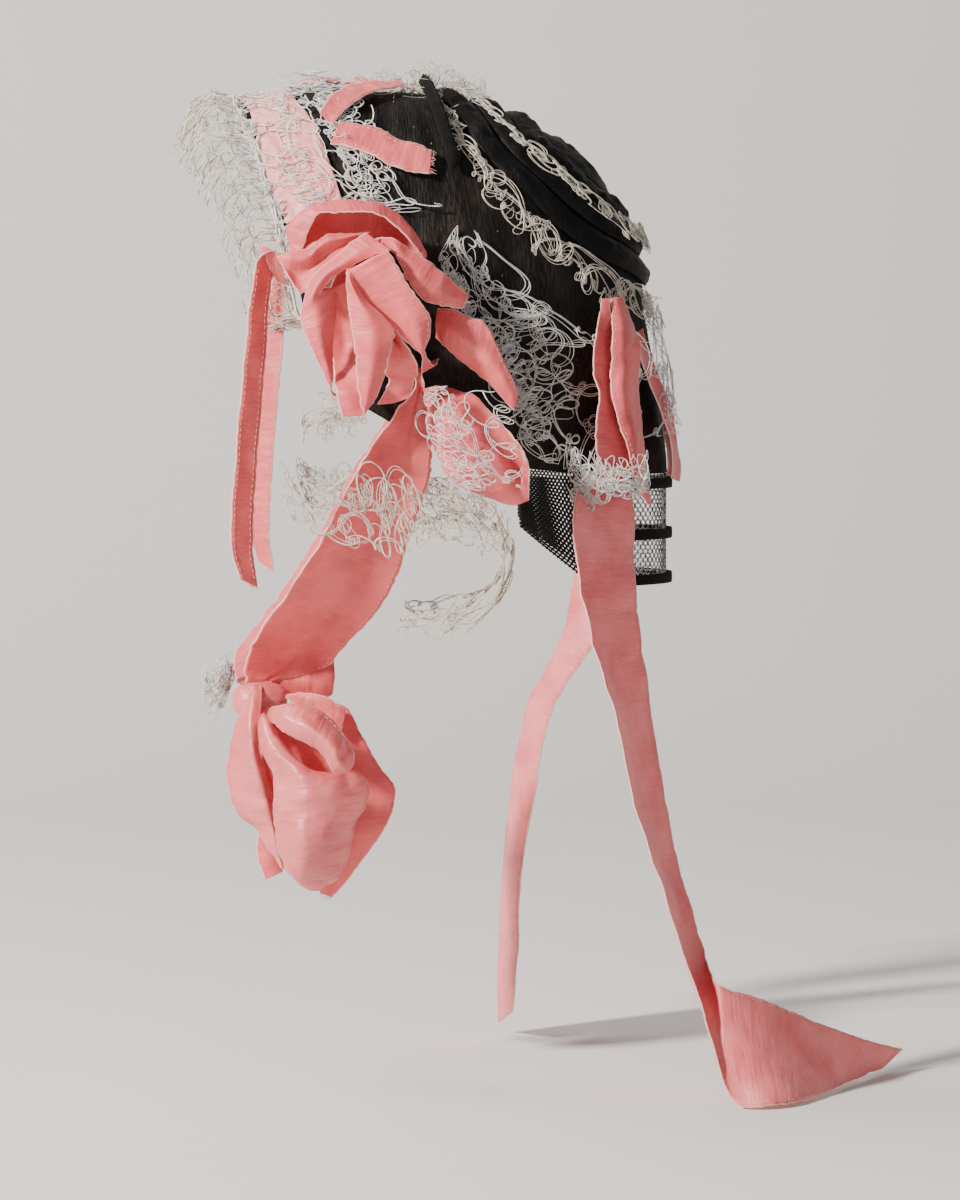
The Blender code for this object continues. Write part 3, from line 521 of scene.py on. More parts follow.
def pleated(grid, pleats, crumple, size, seed):
    """Give a grid of cloth lengthwise pleats, crisp creases and slightly uneven selvedges."""
    rows, columns = grid.shape[:2]
    s = np.linspace(0, 1, rows)[:, None]
    t = np.linspace(0, 1, columns)[None, :]
    out = normals_of(grid)
    rise = np.zeros((rows, columns))
    for p in pleats:
        at = p.at_start + (p.at_end - p.at_start) * s
        rise += (p.depth_start + (p.depth_end - p.depth_start) * s) * np.exp(-(((t - at) / p.width) ** 2))
    rise += crumple * (0.55 - np.abs(field(grid, size, seed))) * 1.6
    rise += crumple * 0.25 * field(grid, size / 4, seed + 100)
    side = np.gradient(grid, axis=1)
    side /= np.maximum(np.linalg.norm(side, axis=-1, keepdims=True), 1e-9)
    uneven = SELVEDGE_WOBBLE * field(grid, 3.5, seed + 200) * (np.abs(2 * t - 1) ** 6)
    return grid + out * rise[..., None] + side * uneven[..., None]


def between(rows, along, across, puff=0.0):
    """A grid of cloth through lines across it; puff swells its middle to one side."""
    fine = curve_through([tuple(r) for r in rows], along)
    t = np.linspace(0, 1, across + 1)[None, :, None]
    grid = fine[:, None, :3] * (1 - t) + fine[:, None, 3:] * t
    swell = puff * np.sin(np.pi * np.linspace(0, 1, along + 1))[:, None] * np.sin(np.pi * t[..., 0])
    return grid + normals_of(grid) * swell[..., None]


def seen(rows, corner_u, corner_v, zoom):
    """Points read in an enlarged part of the picture, as (right, down, x); gives millimetres.

    The enlargement starts at a pixel of the picture, and x is the point's own depth in millimetres.
    """
    right, down, x = np.moveaxis(np.array(rows, float), -1, 0)
    scale = MM_PER_PIXEL * (1 - x / EYE_DISTANCE)
    y = MIDDLE_Y + (corner_u + right / zoom - MIDDLE_U) * scale
    return np.stack([x, y, EYE_Z + (EYE_V - corner_v - down / zoom) * scale], -1)


def facets(rows, along, across):
    """A grid of cloth through rows of points: smooth along it, lightly creased at the points across it."""
    fine = curve_through(rows, along)
    last = fine.shape[1] - 1
    t = np.linspace(0, last, across + 1)
    i = np.minimum(t.astype(int), last - 1)
    f = (t - i)[None, :, None]
    grid = fine[:, i] * (1 - f) + fine[:, i + 1] * f
    for _ in range(6):
        grid[:, 1:-1] = (grid[:, :-2] + 2 * grid[:, 1:-1] + grid[:, 2:]) / 4
    return grid


STITCH_INSET, STITCH_PITCH, STITCH_LENGTH, STITCH_LIFT, STITCH_RADIUS = 1.6, 2.6, 1.5, 0.45, 0.13


def stitches(grid, lift, edges):
    """Short threads along selvedges of a grid, inset from each; below 0 the lift is to its back."""
    out = normals_of(grid)
    batches = []
    for edge in edges:
        inner = 1 if edge == 0 else -2
        inward = grid[:, inner] - grid[:, edge]
        inward /= np.maximum(np.linalg.norm(inward, axis=-1, keepdims=True), 1e-9)
        line = grid[:, edge] + inward * STITCH_INSET + out[:, edge] * lift
        run = np.concatenate([[0], np.cumsum(np.linalg.norm(np.diff(line, axis=0), axis=-1))])
        starts = np.arange(STITCH_PITCH, run[-1] - STITCH_PITCH, STITCH_PITCH)
        at = starts[:, None] + np.linspace(0, STITCH_LENGTH, 4)[None, :]
        points = np.stack([np.interp(at, run, line[:, k]) for k in range(3)], -1)
        ups = np.stack([np.interp(at, run, out[:, edge][:, k]) for k in range(3)], -1)
        batches.append((points, ups, STITCH_RADIUS))
    return batches


FRAY_REACH, FRAY_RADIUS = 2.4, 0.09
THREAD_UP = np.array((0.31, 0.2, 0.93))


def frayed(grid, count, seed):
    """Loose weft ends along the cut end of a ribbon."""
    rng = np.random.default_rng(seed)
    row, before = grid[-1], grid[-3]
    t = np.sort(rng.uniform(0, 1, count)) * (len(row) - 1)
    start = np.stack([np.interp(t, np.arange(len(row)), row[:, k]) for k in range(3)], -1)
    way = row - before
    way = np.stack([np.interp(t, np.arange(len(row)), way[:, k]) for k in range(3)], -1)
    way /= np.maximum(np.linalg.norm(way, axis=-1, keepdims=True), 1e-9)
    drift = rng.normal(scale=0.45, size=(count, 3))
    steps = np.linspace(-0.3, 1, 5)[None, :, None] * FRAY_REACH * rng.uniform(0.3, 1, (count, 1, 1))
    points = start[:, None] + way[:, None] * steps + drift[:, None] * steps * np.abs(steps) / FRAY_REACH
    return [(points, THREAD_UP, FRAY_RADIUS)]


silk = silk_look("pink_taffeta", (0.78, 0.13, 0.132), (0.54, 0.070, 0.080))
streamer_silk = silk_look("pink_streamer_taffeta")
faded = silk_look("pink_faded_taffeta", (0.90, 0.38, 0.36), (0.78, 0.24, 0.23), 0.5)
satin = silk_look("pink_satin_face", (0.80, 0.15, 0.15), (0.58, 0.085, 0.093), crinkle=1.0)
satin_face = satin.node_tree.nodes["Principled BSDF"].inputs
satin_face["Specular IOR Level"].default_value = 1.0
satin_face["Coat Weight"].default_value = 0.2
satin_face["Coat Roughness"].default_value = 0.28
thread_pink = silk_look("pink_sewing_thread", (0.86, 0.50, 0.47), (0.80, 0.42, 0.40), 0.6, 0.2, 0.0)
FINENESS, RIBBON_WALL = 0.52, 0.55
BOTH = ("left", "right")


def silk_on(sides, node, rows, along, across, puff=0.0, pleats=(), *, crumple, size, seed,
            sewn=(), fray=0, look=silk, node_is=True):
    """One ribbon from its table on each side named; the right one is the mirror of the left.

    along and across count its steps before they are thinned, crumple and size are the depth and
    the width of its creases, and puff and pleats shape it. sewn names the selvedges that are
    stitched, 0 for the first and -1 for the last, fray counts the loose ends at the cut end, and
    node_is tells that the ribbon stands for a solid of its name.
    """
    along, across = round(along * FINENESS), round(across * FINENESS)
    if isinstance(rows, np.ndarray):
        plain = facets(rows, along, across)
    else:
        plain = between(rows, along, across, puff)
    grid = pleated(plain, pleats, crumple, size, seed)
    threads = stitches(grid, STITCH_LIFT, sewn) + stitches(grid, -STITCH_LIFT, sewn)
    threads += frayed(grid, fray, seed) if fray else []
    for side in sides:
        flip = np.array((-1.0 if side == "right" else 1.0, 1.0, 1.0))
        shaped = grid * flip
        name = node.format(side)
        piece = cloth(name + "_silk", shaped, RIBBON_WALL, look)
        dress(piece, "pink_silk", *([name] if node_is else []))
        if threads:
            turned = []
            for points, ups, radius in threads:
                turned.append((points * flip, np.broadcast_to(ups, points.shape) * flip, radius))
            dress(strands(name + "_threads", turned, thread_pink, 3), "pink_silk")


# The head band: a faded wide ribbon laid over the head from temple to temple behind the frill,
# puckered all over and caught down along both selvedges.
Strip = namedtuple("Strip", "azimuth1 down1 azimuth2 down2")


def strip_grid(rows, steps, columns, lift, both_sides=True):
    """A grid over a strip of the crown between two lines of places."""
    table = [tuple(r) for r in rows]
    if both_sides:
        table = [(-a1, d1, -a2, d2) for a1, d1, a2, d2 in reversed(table[1:])] + table
    plan = np.array([[*chart(a1, d1), *chart(a2, d2)] for a1, d1, a2, d2 in table])
    lines = curve_through(plan, steps)
    t = np.linspace(0, 1, columns + 1)[None, :, None]
    return on_chart(lines[:, None, :2] * (1 - t) + lines[:, None, 2:] * t, lift)


def outward(grid):
    """The normals of a grid that lies on the head, pointing away from it."""
    out = normals_of(grid)
    away = grid - HEAD_MIDDLE
    return out if (out * away).sum() > 0 else -out


BAND = [
    Strip(0, 21, 0, 12), Strip(26, 30, 42, 27), Strip(42, 47, 62, 46), Strip(52, 64, 72, 63),
    Strip(60, 78, 78, 77), Strip(64, 88, 80, 88),
]
band_grid = strip_grid(BAND, 260, 30, NET_WALL + CLEAR + 1.1)
band_out = outward(band_grid)
puckers = 0.6 * (0.6 - np.abs(field(band_grid, 10, 31))) + 0.22 * field(band_grid, 4, 32)
band_grid = band_grid + band_out * puckers[..., None]
PUCKERED_WALL = 0.6
band = cloth("head_band_silk", band_grid, PUCKERED_WALL, faded)
dress(band, "pink_silk", "head_band")

# The narrow ribbon on top: a puckered run over the head, and the two arms of a flat bow
# with pinked edges, all sewn to the crown.
silk_on(["left"], "top_bow_pucker", [
    Across(8, -41, 5.4, -2, -41, 5.4), Across(12, -30, 5.4, -2, -30, 7.5),
    Across(14, -23, 4.8, 0, -22, 5.4), Across(16, -15, 5.4, 2, -14, 7.5),
    Across(14, -6, 4.8, 2, -5, 5.6), Across(12, 2, 5.4, 2, 3, 7.5),
], 90, 14, crumple=0.5, size=7, seed=41)
silk_on(["left"], "top_bow_upper_arm", [
    Across(54, -31, -10.4, 58, -26, -15.4), Across(45, -28, -4.4, 53, -20, -9.4),
    Across(33, -22, 1.6, 44, -13, -3.4), Across(24, -12, 4.6, 34, -5, 0.6),
    Across(18, 1, 5.6, 24, 6, 2.6),
], 90, 16, crumple=0.35, size=12, seed=42, sewn=(0, -1))
silk_on(["left"], "top_bow_lower_arm", [
    Across(58.4, -22, -14, 64.4, -26, -24), Across(59.4, -17, -15, 65.4, -21, -25),
    Across(61.4, -6, -17, 67.4, -10, -28), Across(63.4, 3, -22, 69.4, -1, -33),
    Across(64.4, 11, -24, 69.4, 8, -36), Across(64.4, 17, -27, 69.4, 16, -37),
], 90, 16, crumple=0.3, size=14, seed=43, sewn=(0, -1), fray=30)

# The rosettes: wide ribbon folded and caught down at each temple. Rows are read in the picture
# enlarged 5.6 times from pixel (260, 180): each point is right, down and its depth x.
ROSETTE_VIEW = (260, 180, 5.6)
back_loop = [
    [(259, 561, 79.4), (238, 552, 78.6), (216, 544, 77.7), (194, 535, 76.9)],
    [(240, 420, 104), (180, 420, 99), (200, 430, 90), (235, 440, 84)],
    [(245, 380, 105), (155, 335, 101), (190, 350, 92), (260, 380, 84)],
    [(265, 310, 106), (137, 275, 102), (200, 300, 90), (320, 340, 82)],
    [(300, 235, 107), (180, 205, 103), (270, 250, 90), (380, 330, 81)],
    [(330, 190, 108), (270, 150, 104), (330, 210, 90), (420, 310, 80)],
    [(420, 184, 108), (380, 110, 104), (410, 190, 89), (450, 300, 80)],
    [(520, 182, 108), (480, 103, 104), (500, 190, 88), (520, 310, 80)],
    [(620, 186, 108), (600, 108, 104), (610, 200, 88), (600, 320, 80)],
    [(700, 212, 107), (680, 124, 103), (680, 220, 88), (660, 330, 80)],
    [(760, 262, 106), (765, 172, 102), (750, 260, 88), (700, 350, 80)],
    [(830, 332, 105), (845, 262, 101), (810, 330, 88), (750, 400, 81)],
    [(890, 405, 103), (905, 345, 99), (860, 400, 88), (790, 440, 81)],
    [(915, 450, 101), (935, 430, 98), (890, 450, 89), (820, 470, 83)],
    [(868, 560, 81.4), (842, 561, 80), (816, 562, 78.5), (790, 563, 77)],
]
silk_on(BOTH, "rosette_{}_back_loop", seen(back_loop, *ROSETTE_VIEW), 220, 48, crumple=0.22, size=26, seed=51)
right_tail = [
    [(604, 456, 77.4), (618, 495, 77.4), (631, 535, 77.4)],
    [(626, 344, 94), (640, 410, 95), (652, 478, 95)],
    [(740, 325, 109), (740, 362, 111), (740, 400, 110)],
    [(850, 400, 109), (820, 445, 112), (790, 490, 112)],
    [(940, 452, 108), (895, 525, 112), (850, 600, 112)],
    [(1050, 540, 106), (985, 607, 110), (920, 675, 110)],
    [(1110, 590, 103), (1060, 645, 106), (1010, 702, 106)],
    [(1165, 638, 100), (1143, 680, 102), (1120, 722, 102)],
]
silk_on(BOTH, "rosette_{}_right_tail", seen(right_tail, *ROSETTE_VIEW), 160, 36,
        crumple=0.3, size=22, seed=52, sewn=(-1,), fray=50)
left_loop = [
    [(379, 733, 78.7), (425, 720, 78.7), (471, 707, 78.7)],
    [(413, 558, 92), (472, 505, 93), (532, 451, 94)],
    [(530, 400, 104), (590, 400, 106), (650, 400, 108)],
    [(600, 298, 110), (668, 350, 113), (735, 395, 114)],
    [(520, 350, 110), (580, 390, 114), (640, 420, 114)],
    [(420, 440, 110), (470, 465, 114), (520, 480, 112)],
    [(330, 505, 110), (380, 525, 114), (430, 530, 111)],
    [(280, 570, 110), (325, 590, 114), (370, 590, 111)],
    [(245, 680, 110), (290, 668, 114), (340, 640, 111)],
    [(230, 762, 109), (320, 720, 113), (430, 636, 106)],
    [(250, 850, 110), (335, 830, 113), (424, 760, 106)],
    [(300, 960, 110), (350, 930, 112), (412, 880, 106)],
    [(345, 1060, 109), (375, 1030, 111), (408, 1000, 106)],
    [(385, 1140, 107), (398, 1120, 108), (410, 1100, 105)],
    [(415, 1205, 104), (414, 1200, 104), (414, 1190, 103)],
    [(507, 1198, 90), (547, 1205, 89), (587, 1212, 88)],
    [(564, 1118, 77.5), (610, 1130, 77.5), (657, 1144, 77.5)],
]
silk_on(BOTH, "rosette_{}_left_loop", seen(left_loop, *ROSETTE_VIEW), 260, 36, crumple=0.25, size=24, seed=53)
collar = [
    [(100, 435, 104), (101, 437, 104), (103, 439, 104), (105, 440, 104)],
    [(150, 408, 105), (150, 440, 109), (150, 480, 105), (150, 520, 107)],
    [(220, 392, 106), (215, 440, 110), (212, 520, 103), (200, 600, 107)],
    [(290, 385, 106), (280, 430, 110), (270, 490, 103), (235, 640, 107)],
    [(335, 338, 106), (330, 380, 110), (330, 430, 103), (290, 560, 107)],
    [(380, 308, 106), (385, 340, 110), (400, 395, 104), (340, 500, 107)],
    [(460, 304, 106), (465, 325, 109), (480, 355, 104), (420, 440, 107)],
    [(560, 300, 106), (562, 306, 108), (570, 315, 105), (500, 375, 107)],
    [(620, 296, 106), (610, 300, 107), (600, 310, 106), (580, 330, 107)],
]
silk_on(BOTH, "rosette_{}_collar", seen(collar, *ROSETTE_VIEW), 160, 36,
        crumple=0.2, size=20, seed=57, node_is=False)
centre_loop = [
    [(564, 812, 77.8), (610, 790, 77.8), (657, 773, 77.8)],
    [(572, 638, 94), (618, 600, 95), (665, 558, 96)],
    [(500, 500, 108), (530, 490, 109), (560, 480, 109)],
    [(488, 530, 115), (504, 545, 117), (520, 560, 116)],
    [(488, 620, 116), (540, 645, 120), (590, 670, 117)],
    [(500, 730, 117), (595, 745, 121), (690, 760, 118)],
    [(518, 840, 117), (637, 845, 121), (756, 850, 118)],
    [(530, 910, 117), (636, 905, 121), (742, 900, 118)],
    [(538, 1000, 116), (630, 995, 120), (720, 990, 116)],
    [(546, 1100, 115), (620, 1105, 118), (692, 1110, 114)],
    [(554, 1190, 114), (605, 1200, 116), (655, 1210, 112)],
    [(578, 1300, 112.5), (589, 1295, 112.5), (600, 1290, 111)],
    [(580, 1315, 111.5), (581, 1316, 111.5), (582, 1316, 111.5)],
]
silk_on(BOTH, "rosette_{}_centre_loop", seen(centre_loop, *ROSETTE_VIEW), 220, 40,
        crumple=0.2, size=26, seed=54)
right_fold = [
    [(530, 540, 104), (630, 480, 105), (715, 425, 108)],
    [(488, 512, 113), (600, 450, 117), (712, 393, 117)],
    [(500, 560, 113), (620, 495, 118), (740, 430, 118)],
    [(560, 640, 112), (675, 575, 118), (790, 510, 118)],
    [(620, 700, 112), (735, 655, 118), (845, 605, 118)],
    [(690, 765, 112), (795, 725, 118), (900, 680, 118)],
    [(750, 830, 112), (850, 790, 118), (945, 750, 117)],
    [(800, 885, 112), (880, 843, 117), (957, 800, 115)],
    [(850, 930, 111), (900, 905, 115), (950, 880, 113)],
    [(905, 985, 108), (915, 970, 110), (925, 955, 110)],
    [(906, 1079, 94), (940, 1059, 94), (973, 1039, 95)],
    [(922, 1025, 76.6), (962, 1012, 76.6), (1002, 999, 76.6)],
]
silk_on(BOTH, "rosette_{}_right_fold", seen(right_fold, *ROSETTE_VIEW), 220, 40,
        crumple=0.2, size=24, seed=55, sewn=(-1,))
inner_fold = [
    [(578, 1001, 77.7), (644, 960, 77.7), (710, 919, 77.7)],
    [(560, 930, 92), (630, 870, 91), (700, 800, 92)],
    [(640, 900, 102), (700, 850, 103), (760, 800, 104)],
    [(735, 900, 107), (768, 905, 104), (800, 890, 110)],
    [(728, 960, 108), (784, 965, 104), (840, 950, 110)],
    [(715, 1010, 107), (795, 1025, 103), (870, 1010, 108)],
    [(705, 1050, 104), (800, 1062, 101), (888, 1060, 104)],
    [(700, 1078, 101), (795, 1085, 99), (885, 1080, 101)],
    [(720, 1120, 97), (800, 1125, 96), (870, 1115, 96)],
    [(700, 1180, 93), (780, 1190, 93), (850, 1180, 92)],
    [(655, 1255, 92), (745, 1250, 92), (845, 1215, 92)],
]
silk_on(BOTH, "rosette_{}_inner_fold", seen(inner_fold, *ROSETTE_VIEW), 180, 30,
        crumple=0.2, size=20, seed=56)
tucked_end = [
    [(330, 620, 98), (415, 600, 96), (500, 560, 98)],
    [(400, 700, 94), (460, 705, 92), (520, 700, 94)],
    [(400, 800, 93), (465, 815, 91), (530, 820, 93)],
    [(400, 920, 92), (470, 925, 90), (540, 920, 92)],
    [(410, 1010, 96), (470, 1008, 95), (530, 1000, 98)],
    [(420, 1100, 104), (480, 1090, 104), (545, 1080, 106)],
    [(430, 1180, 109), (490, 1172, 110), (556, 1165, 110)],
    [(440, 1240, 110), (504, 1240, 111), (568, 1240, 110)],
    [(460, 1322, 110), (520, 1320, 111), (580, 1316, 110)],
]
silk_on(BOTH, "rosette_{}_tucked_end", seen(tucked_end, *ROSETTE_VIEW), 160, 34,
        crumple=0.25, size=20, seed=58, node_is=False)

# The cheek ribbons: a narrow ribbon on each side, looped over and sewn down at the temple, that
# hangs free down the cheek.
silk_on(BOTH, "cheek_ribbon_{}", [
    Across(77, -44, -84, 77, -49, -82), Across(84, -47, -75, 84, -52, -75),
    Across(86, -49, -70, 84, -54, -68), Across(88, -54, -72, 80, -55, -68),
    Across(86, -57, -77, 80, -50, -77), Across(86, -60, -95, 80.6, -52, -95),
    Across(84, -63, -124, 78, -54, -124), Across(83, -66, -158, 77, -57, -158),
    Across(82, -68, -192, 76, -59, -192), Across(82, -64, -208, 76, -57, -212),
], 220, 14, crumple=0.25, size=30, seed=61, sewn=(0, -1), fray=14)

# The ear loops: two loops of wide ribbon sewn one over the other to the crown's edge below
# each ear.
upper_loop = [
    [(985, 880, 84), (985, 800, 88), (1000, 720, 86)],
    [(1030, 930, 90), (1060, 830, 97), (1080, 722, 93)],
    [(1110, 1000, 92), (1140, 900, 100), (1170, 765, 97)],
    [(1200, 1070, 93), (1230, 960, 101), (1260, 800, 98)],
    [(1270, 1125, 93), (1290, 1030, 101), (1318, 900, 98)],
    [(1330, 1190, 93), (1355, 1110, 100), (1375, 1030, 98)],
    [(1385, 1250, 92), (1405, 1190, 96), (1430, 1150, 95)],
    [(1420, 1290, 91), (1432, 1250, 92), (1440, 1210, 91)],
]
silk_on(BOTH, "ear_loop_upper_{}", seen(upper_loop, *ROSETTE_VIEW), 130, 30,
        crumple=0.35, size=22, seed=62, sewn=(-1,))
EAR_VIEW = (246, 387, 3.824)
lower_loop = [
    [(680, 5, 84), (690, 4, 87), (700, 3, 88), (712, 2, 87), (725, 0, 84)],
    [(695, 80, 90), (730, 75, 97), (790, 65, 100), (830, 50, 97), (865, 30, 94)],
    [(700, 170, 91), (760, 165, 99), (860, 140, 104), (905, 130, 96), (950, 110, 97)],
    [(730, 260, 92), (800, 255, 100), (920, 215, 105), (955, 225, 94), (1020, 185, 100)],
    [(765, 330, 92), (850, 330, 100), (975, 255, 106), (1000, 280, 91), (1065, 245, 102)],
    [(830, 385, 92), (910, 385, 99), (1000, 320, 103), (1030, 320, 91), (1080, 300, 102)],
    [(920, 422, 92), (970, 415, 98), (1020, 390, 100), (1050, 380, 95), (1084, 370, 99)],
    [(1000, 447, 91), (1030, 446, 94), (1050, 442, 95), (1065, 438, 95), (1078, 430, 94)],
]
silk_on(BOTH, "ear_loop_lower_{}", seen(lower_loop, *EAR_VIEW), 190, 40,
        crumple=0.3, size=22, seed=63, sewn=(0,))

# The chin ties: wide ribbon sewn on behind each ear, drawn together and tied under the chin.
# The far one is the same ribbon, led on to the knot from its own side.
CHIN_TIE = [
    Across(77.9, 9, -120, 77.1, 13, -119), Across(86, 10, -128, 82, 14, -127),
    Across(88, 3, -136, 79, 16, -138), Across(88, -6, -149, 77, 17, -150),
    Across(85, -16, -165, 73, 16, -166), Across(78, -28, -188, 66, 9, -186),
    Across(70, -37, -203, 58, 2, -208), Across(60, -47, -218, 47, -7, -224),
    Across(48, -58, -233, 36, -19, -237), Across(38, -64, -246, 26, -31, -249),
    Across(35, -64, -255.2, 28, -50, -255),
]
FAR_TIE = [CHIN_TIE[0], *(Across(r.x1, r.y1 - 4, r.z1, r.x2, r.y2 - 4, r.z2) for r in CHIN_TIE[1:-2])]
FAR_TIE += [
    Across(32, -72, -247, 24, -44, -250), Across(4, -70, -258, 2, -50, -260),
    Across(-22.3, -62, -262, -22.3, -54, -263),
]
silk_on(["left"], "chin_tie_{}", CHIN_TIE, 220, 40, 4, [Pleat(0.7, 0.62, 1.2, 1.0, 0.06)],
        crumple=0.5, size=22, seed=64, sewn=(-1,))
silk_on(["right"], "chin_tie_{}", FAR_TIE, 220, 40, 4,
        crumple=0.5, size=22, seed=65, sewn=(-1,))

# The knot and the bow on the chest: loops of the same wide ribbon as the ties, softer and
# fuller, with the satin face outside.
BOW_VIEW = (180, 580, 4.61)
left_loop = [
    [(330, 490, 37), (345, 488, 38), (372, 486, 38)],
    [(300, 560, 42), (330, 560, 48), (372, 560, 46)],
    [(250, 680, 43), (318, 660, 53), (357, 680, 50)],
    [(225, 790, 42), (330, 790, 55), (362, 790, 50)],
    [(213, 900, 42), (352, 900, 55), (395, 900, 49)],
    [(228, 1005, 42), (386, 1005, 54), (420, 1005, 48)],
    [(265, 1085, 42), (410, 1090, 53), (434, 1090, 47)],
    [(345, 1150, 43), (428, 1160, 52), (441, 1160, 47)],
    [(400, 1235, 45), (446, 1250, 50), (455, 1250, 47)],
    [(466, 1335, 47), (470, 1337, 47.5), (474, 1339, 47)],
]
silk_on(["left"], "chin_bow_left_loop", seen(left_loop, *BOW_VIEW), 180, 36,
        crumple=0.3, size=18, seed=71, look=satin)
lobe = [
    [(362, 600, 41.5), (372, 596, 42), (382, 594, 42), (392, 592, 41.5)],
    [(360, 660, 50), (375, 640, 54), (390, 640, 54), (402, 648, 52)],
    [(368, 740, 54), (395, 720, 60), (430, 715, 60), (465, 738, 55)],
    [(385, 820, 56), (440, 800, 64), (500, 800, 63), (545, 835, 57)],
    [(425, 890, 58), (510, 860, 67), (590, 870, 65), (650, 895, 58)],
    [(434, 940, 57), (560, 930, 69), (680, 920, 66), (800, 880, 55)],
    [(428, 1010, 57), (570, 1000, 70), (710, 990, 66), (866, 960, 52)],
    [(426, 1090, 57), (560, 1080, 67), (700, 1080, 65), (850, 1050, 51)],
    [(434, 1160, 56), (560, 1160, 68), (680, 1165, 65), (800, 1140, 51)],
    [(446, 1240, 54), (560, 1260, 66), (670, 1260, 62), (790, 1210, 49)],
    [(468, 1310, 52), (550, 1345, 61), (650, 1345, 58), (765, 1300, 48)],
    [(480, 1345, 49), (545, 1395, 55), (640, 1400, 53), (730, 1365, 47)],
    [(490, 1352, 47), (550, 1415, 49), (620, 1440, 49), (690, 1410, 46)],
]
silk_on(["left"], "chin_bow_lobe", seen(lobe, *BOW_VIEW), 220, 54, crumple=0.45, size=20, seed=72, look=satin)
upper_lobe = [
    [(395, 640, 42), (398, 620, 43), (405, 600, 42)],
    [(425, 660, 57), (430, 620, 60), (440, 582, 56)],
    [(475, 702, 64), (490, 640, 69), (520, 572, 62)],
    [(560, 742, 68), (580, 670, 74), (620, 590, 63)],
    [(640, 792, 70), (660, 730, 76), (700, 650, 63)],
    [(680, 850, 71), (710, 790, 76), (760, 722, 63)],
    [(700, 884, 70), (735, 850, 74), (800, 795, 63)],
    [(730, 892, 67), (765, 880, 69), (800, 840, 63)],
    [(760, 890, 64), (780, 880, 65), (795, 860, 63)],
]
silk_on(["left"], "chin_bow_upper_lobe", seen(upper_lobe, *BOW_VIEW), 180, 36,
        crumple=0.35, size=18, seed=73, look=satin, sewn=(-1,))
back_panel = [
    [(494, 587, 35), (494, 587, 31.5), (494, 587, 28)],
    [(430, 610, 36), (600, 600, 34), (740, 575, 31)],
    [(390, 720, 37), (640, 720, 39), (840, 725, 37)],
    [(400, 850, 37), (680, 850, 40), (915, 855, 38)],
    [(440, 960, 38), (740, 955, 42), (988, 955, 38)],
    [(500, 1060, 39), (760, 1050, 42), (990, 1020, 38)],
    [(580, 1160, 40), (760, 1140, 42), (958, 1112, 38)],
    [(590, 1260, 39), (730, 1240, 41), (900, 1210, 37)],
    [(610, 1360, 38), (710, 1350, 39), (800, 1350, 36)],
    [(640, 1450, 37), (670, 1460, 37), (700, 1470, 35)],
]
silk_on(["left"], "chin_bow_back_panel", seen(back_panel, *BOW_VIEW), 180, 40,
        crumple=0.3, size=22, seed=74, fray=20)
top_flap = [
    [(490, 530, 36), (488, 532, 37), (486, 545, 37)],
    [(560, 522, 42), (560, 540, 43), (550, 590, 42)],
    [(640, 530, 44), (640, 560, 45), (610, 630, 43)],
    [(710, 560, 45), (700, 600, 46), (680, 680, 44)],
    [(760, 600, 44), (755, 640, 45), (740, 720, 44)],
]
silk_on(["left"], "chin_bow_top_flap", seen(top_flap, *BOW_VIEW), 100, 24, crumple=0.25, size=14, seed=75)
rear_roll = [
    [(400, 520, 26), (420, 470, 28), (440, 430, 26)],
    [(510, 530, 25), (510, 465, 28), (530, 405, 24)],
    [(600, 540, 24), (605, 460, 28), (610, 380, 22)],
    [(690, 535, 23), (695, 440, 26), (690, 330, 20)],
    [(706, 505, 22), (712, 420, 23), (704, 330, 19)],
]
silk_on(["left"], "chin_bow_rear_roll", seen(rear_roll, *BOW_VIEW), 80, 24,
        crumple=0.3, size=12, seed=78, node_is=False)
tail = [
    [(337, 631, 29), (374, 631, 29.5), (411, 631, 29)],
    [(345, 850, 32), (390, 850, 33), (430, 850, 33)],
    [(352, 1050, 33), (400, 1050, 34), (440, 1060, 34)],
    [(354, 1190, 34), (400, 1200, 35), (440, 1230, 34)],
    [(350, 1270, 34), (410, 1290, 35.5), (460, 1310, 34)],
    [(385, 1390, 34), (430, 1370, 35), (470, 1350, 34)],
]
silk_on(["left"], "chin_bow_tail", seen(tail, *BOW_VIEW), 120, 24, crumple=0.3, size=16, seed=76)
KNOT_MIDDLE, KNOT_HALF_LENGTH, KNOT_HALF_DEPTH, KNOT_HALF_HEIGHT = (32, -58, -263), 9, 13, 8
turn, height = np.linspace(0, 2 * np.pi, 61)[:-1], np.linspace(0.03, np.pi - 0.03, 37)
pinch = 1 - 0.05 * (1 + np.cos(4 * turn))[:, None] * np.ones_like(height)[None, :]
egg = np.stack([
    KNOT_HALF_LENGTH * np.cos(height)[None, :] * np.ones_like(turn)[:, None],
    KNOT_HALF_DEPTH * np.sin(height)[None, :] * np.cos(turn)[:, None] * pinch,
    KNOT_HALF_HEIGHT * np.sin(height)[None, :] * np.sin(turn)[:, None] * pinch,
], -1) + KNOT_MIDDLE
knot_rise = 0.5 * (0.5 - np.abs(field(egg * (0.5, 1, 1), 9, 77)))
egg = egg + normals_of(egg, True) * (knot_rise * np.sin(height)[None, :])[..., None]
knot = cloth("chin_knot_silk", egg, PUCKERED_WALL, satin, ring=True)
dress(knot, "pink_silk", "chin_knot")

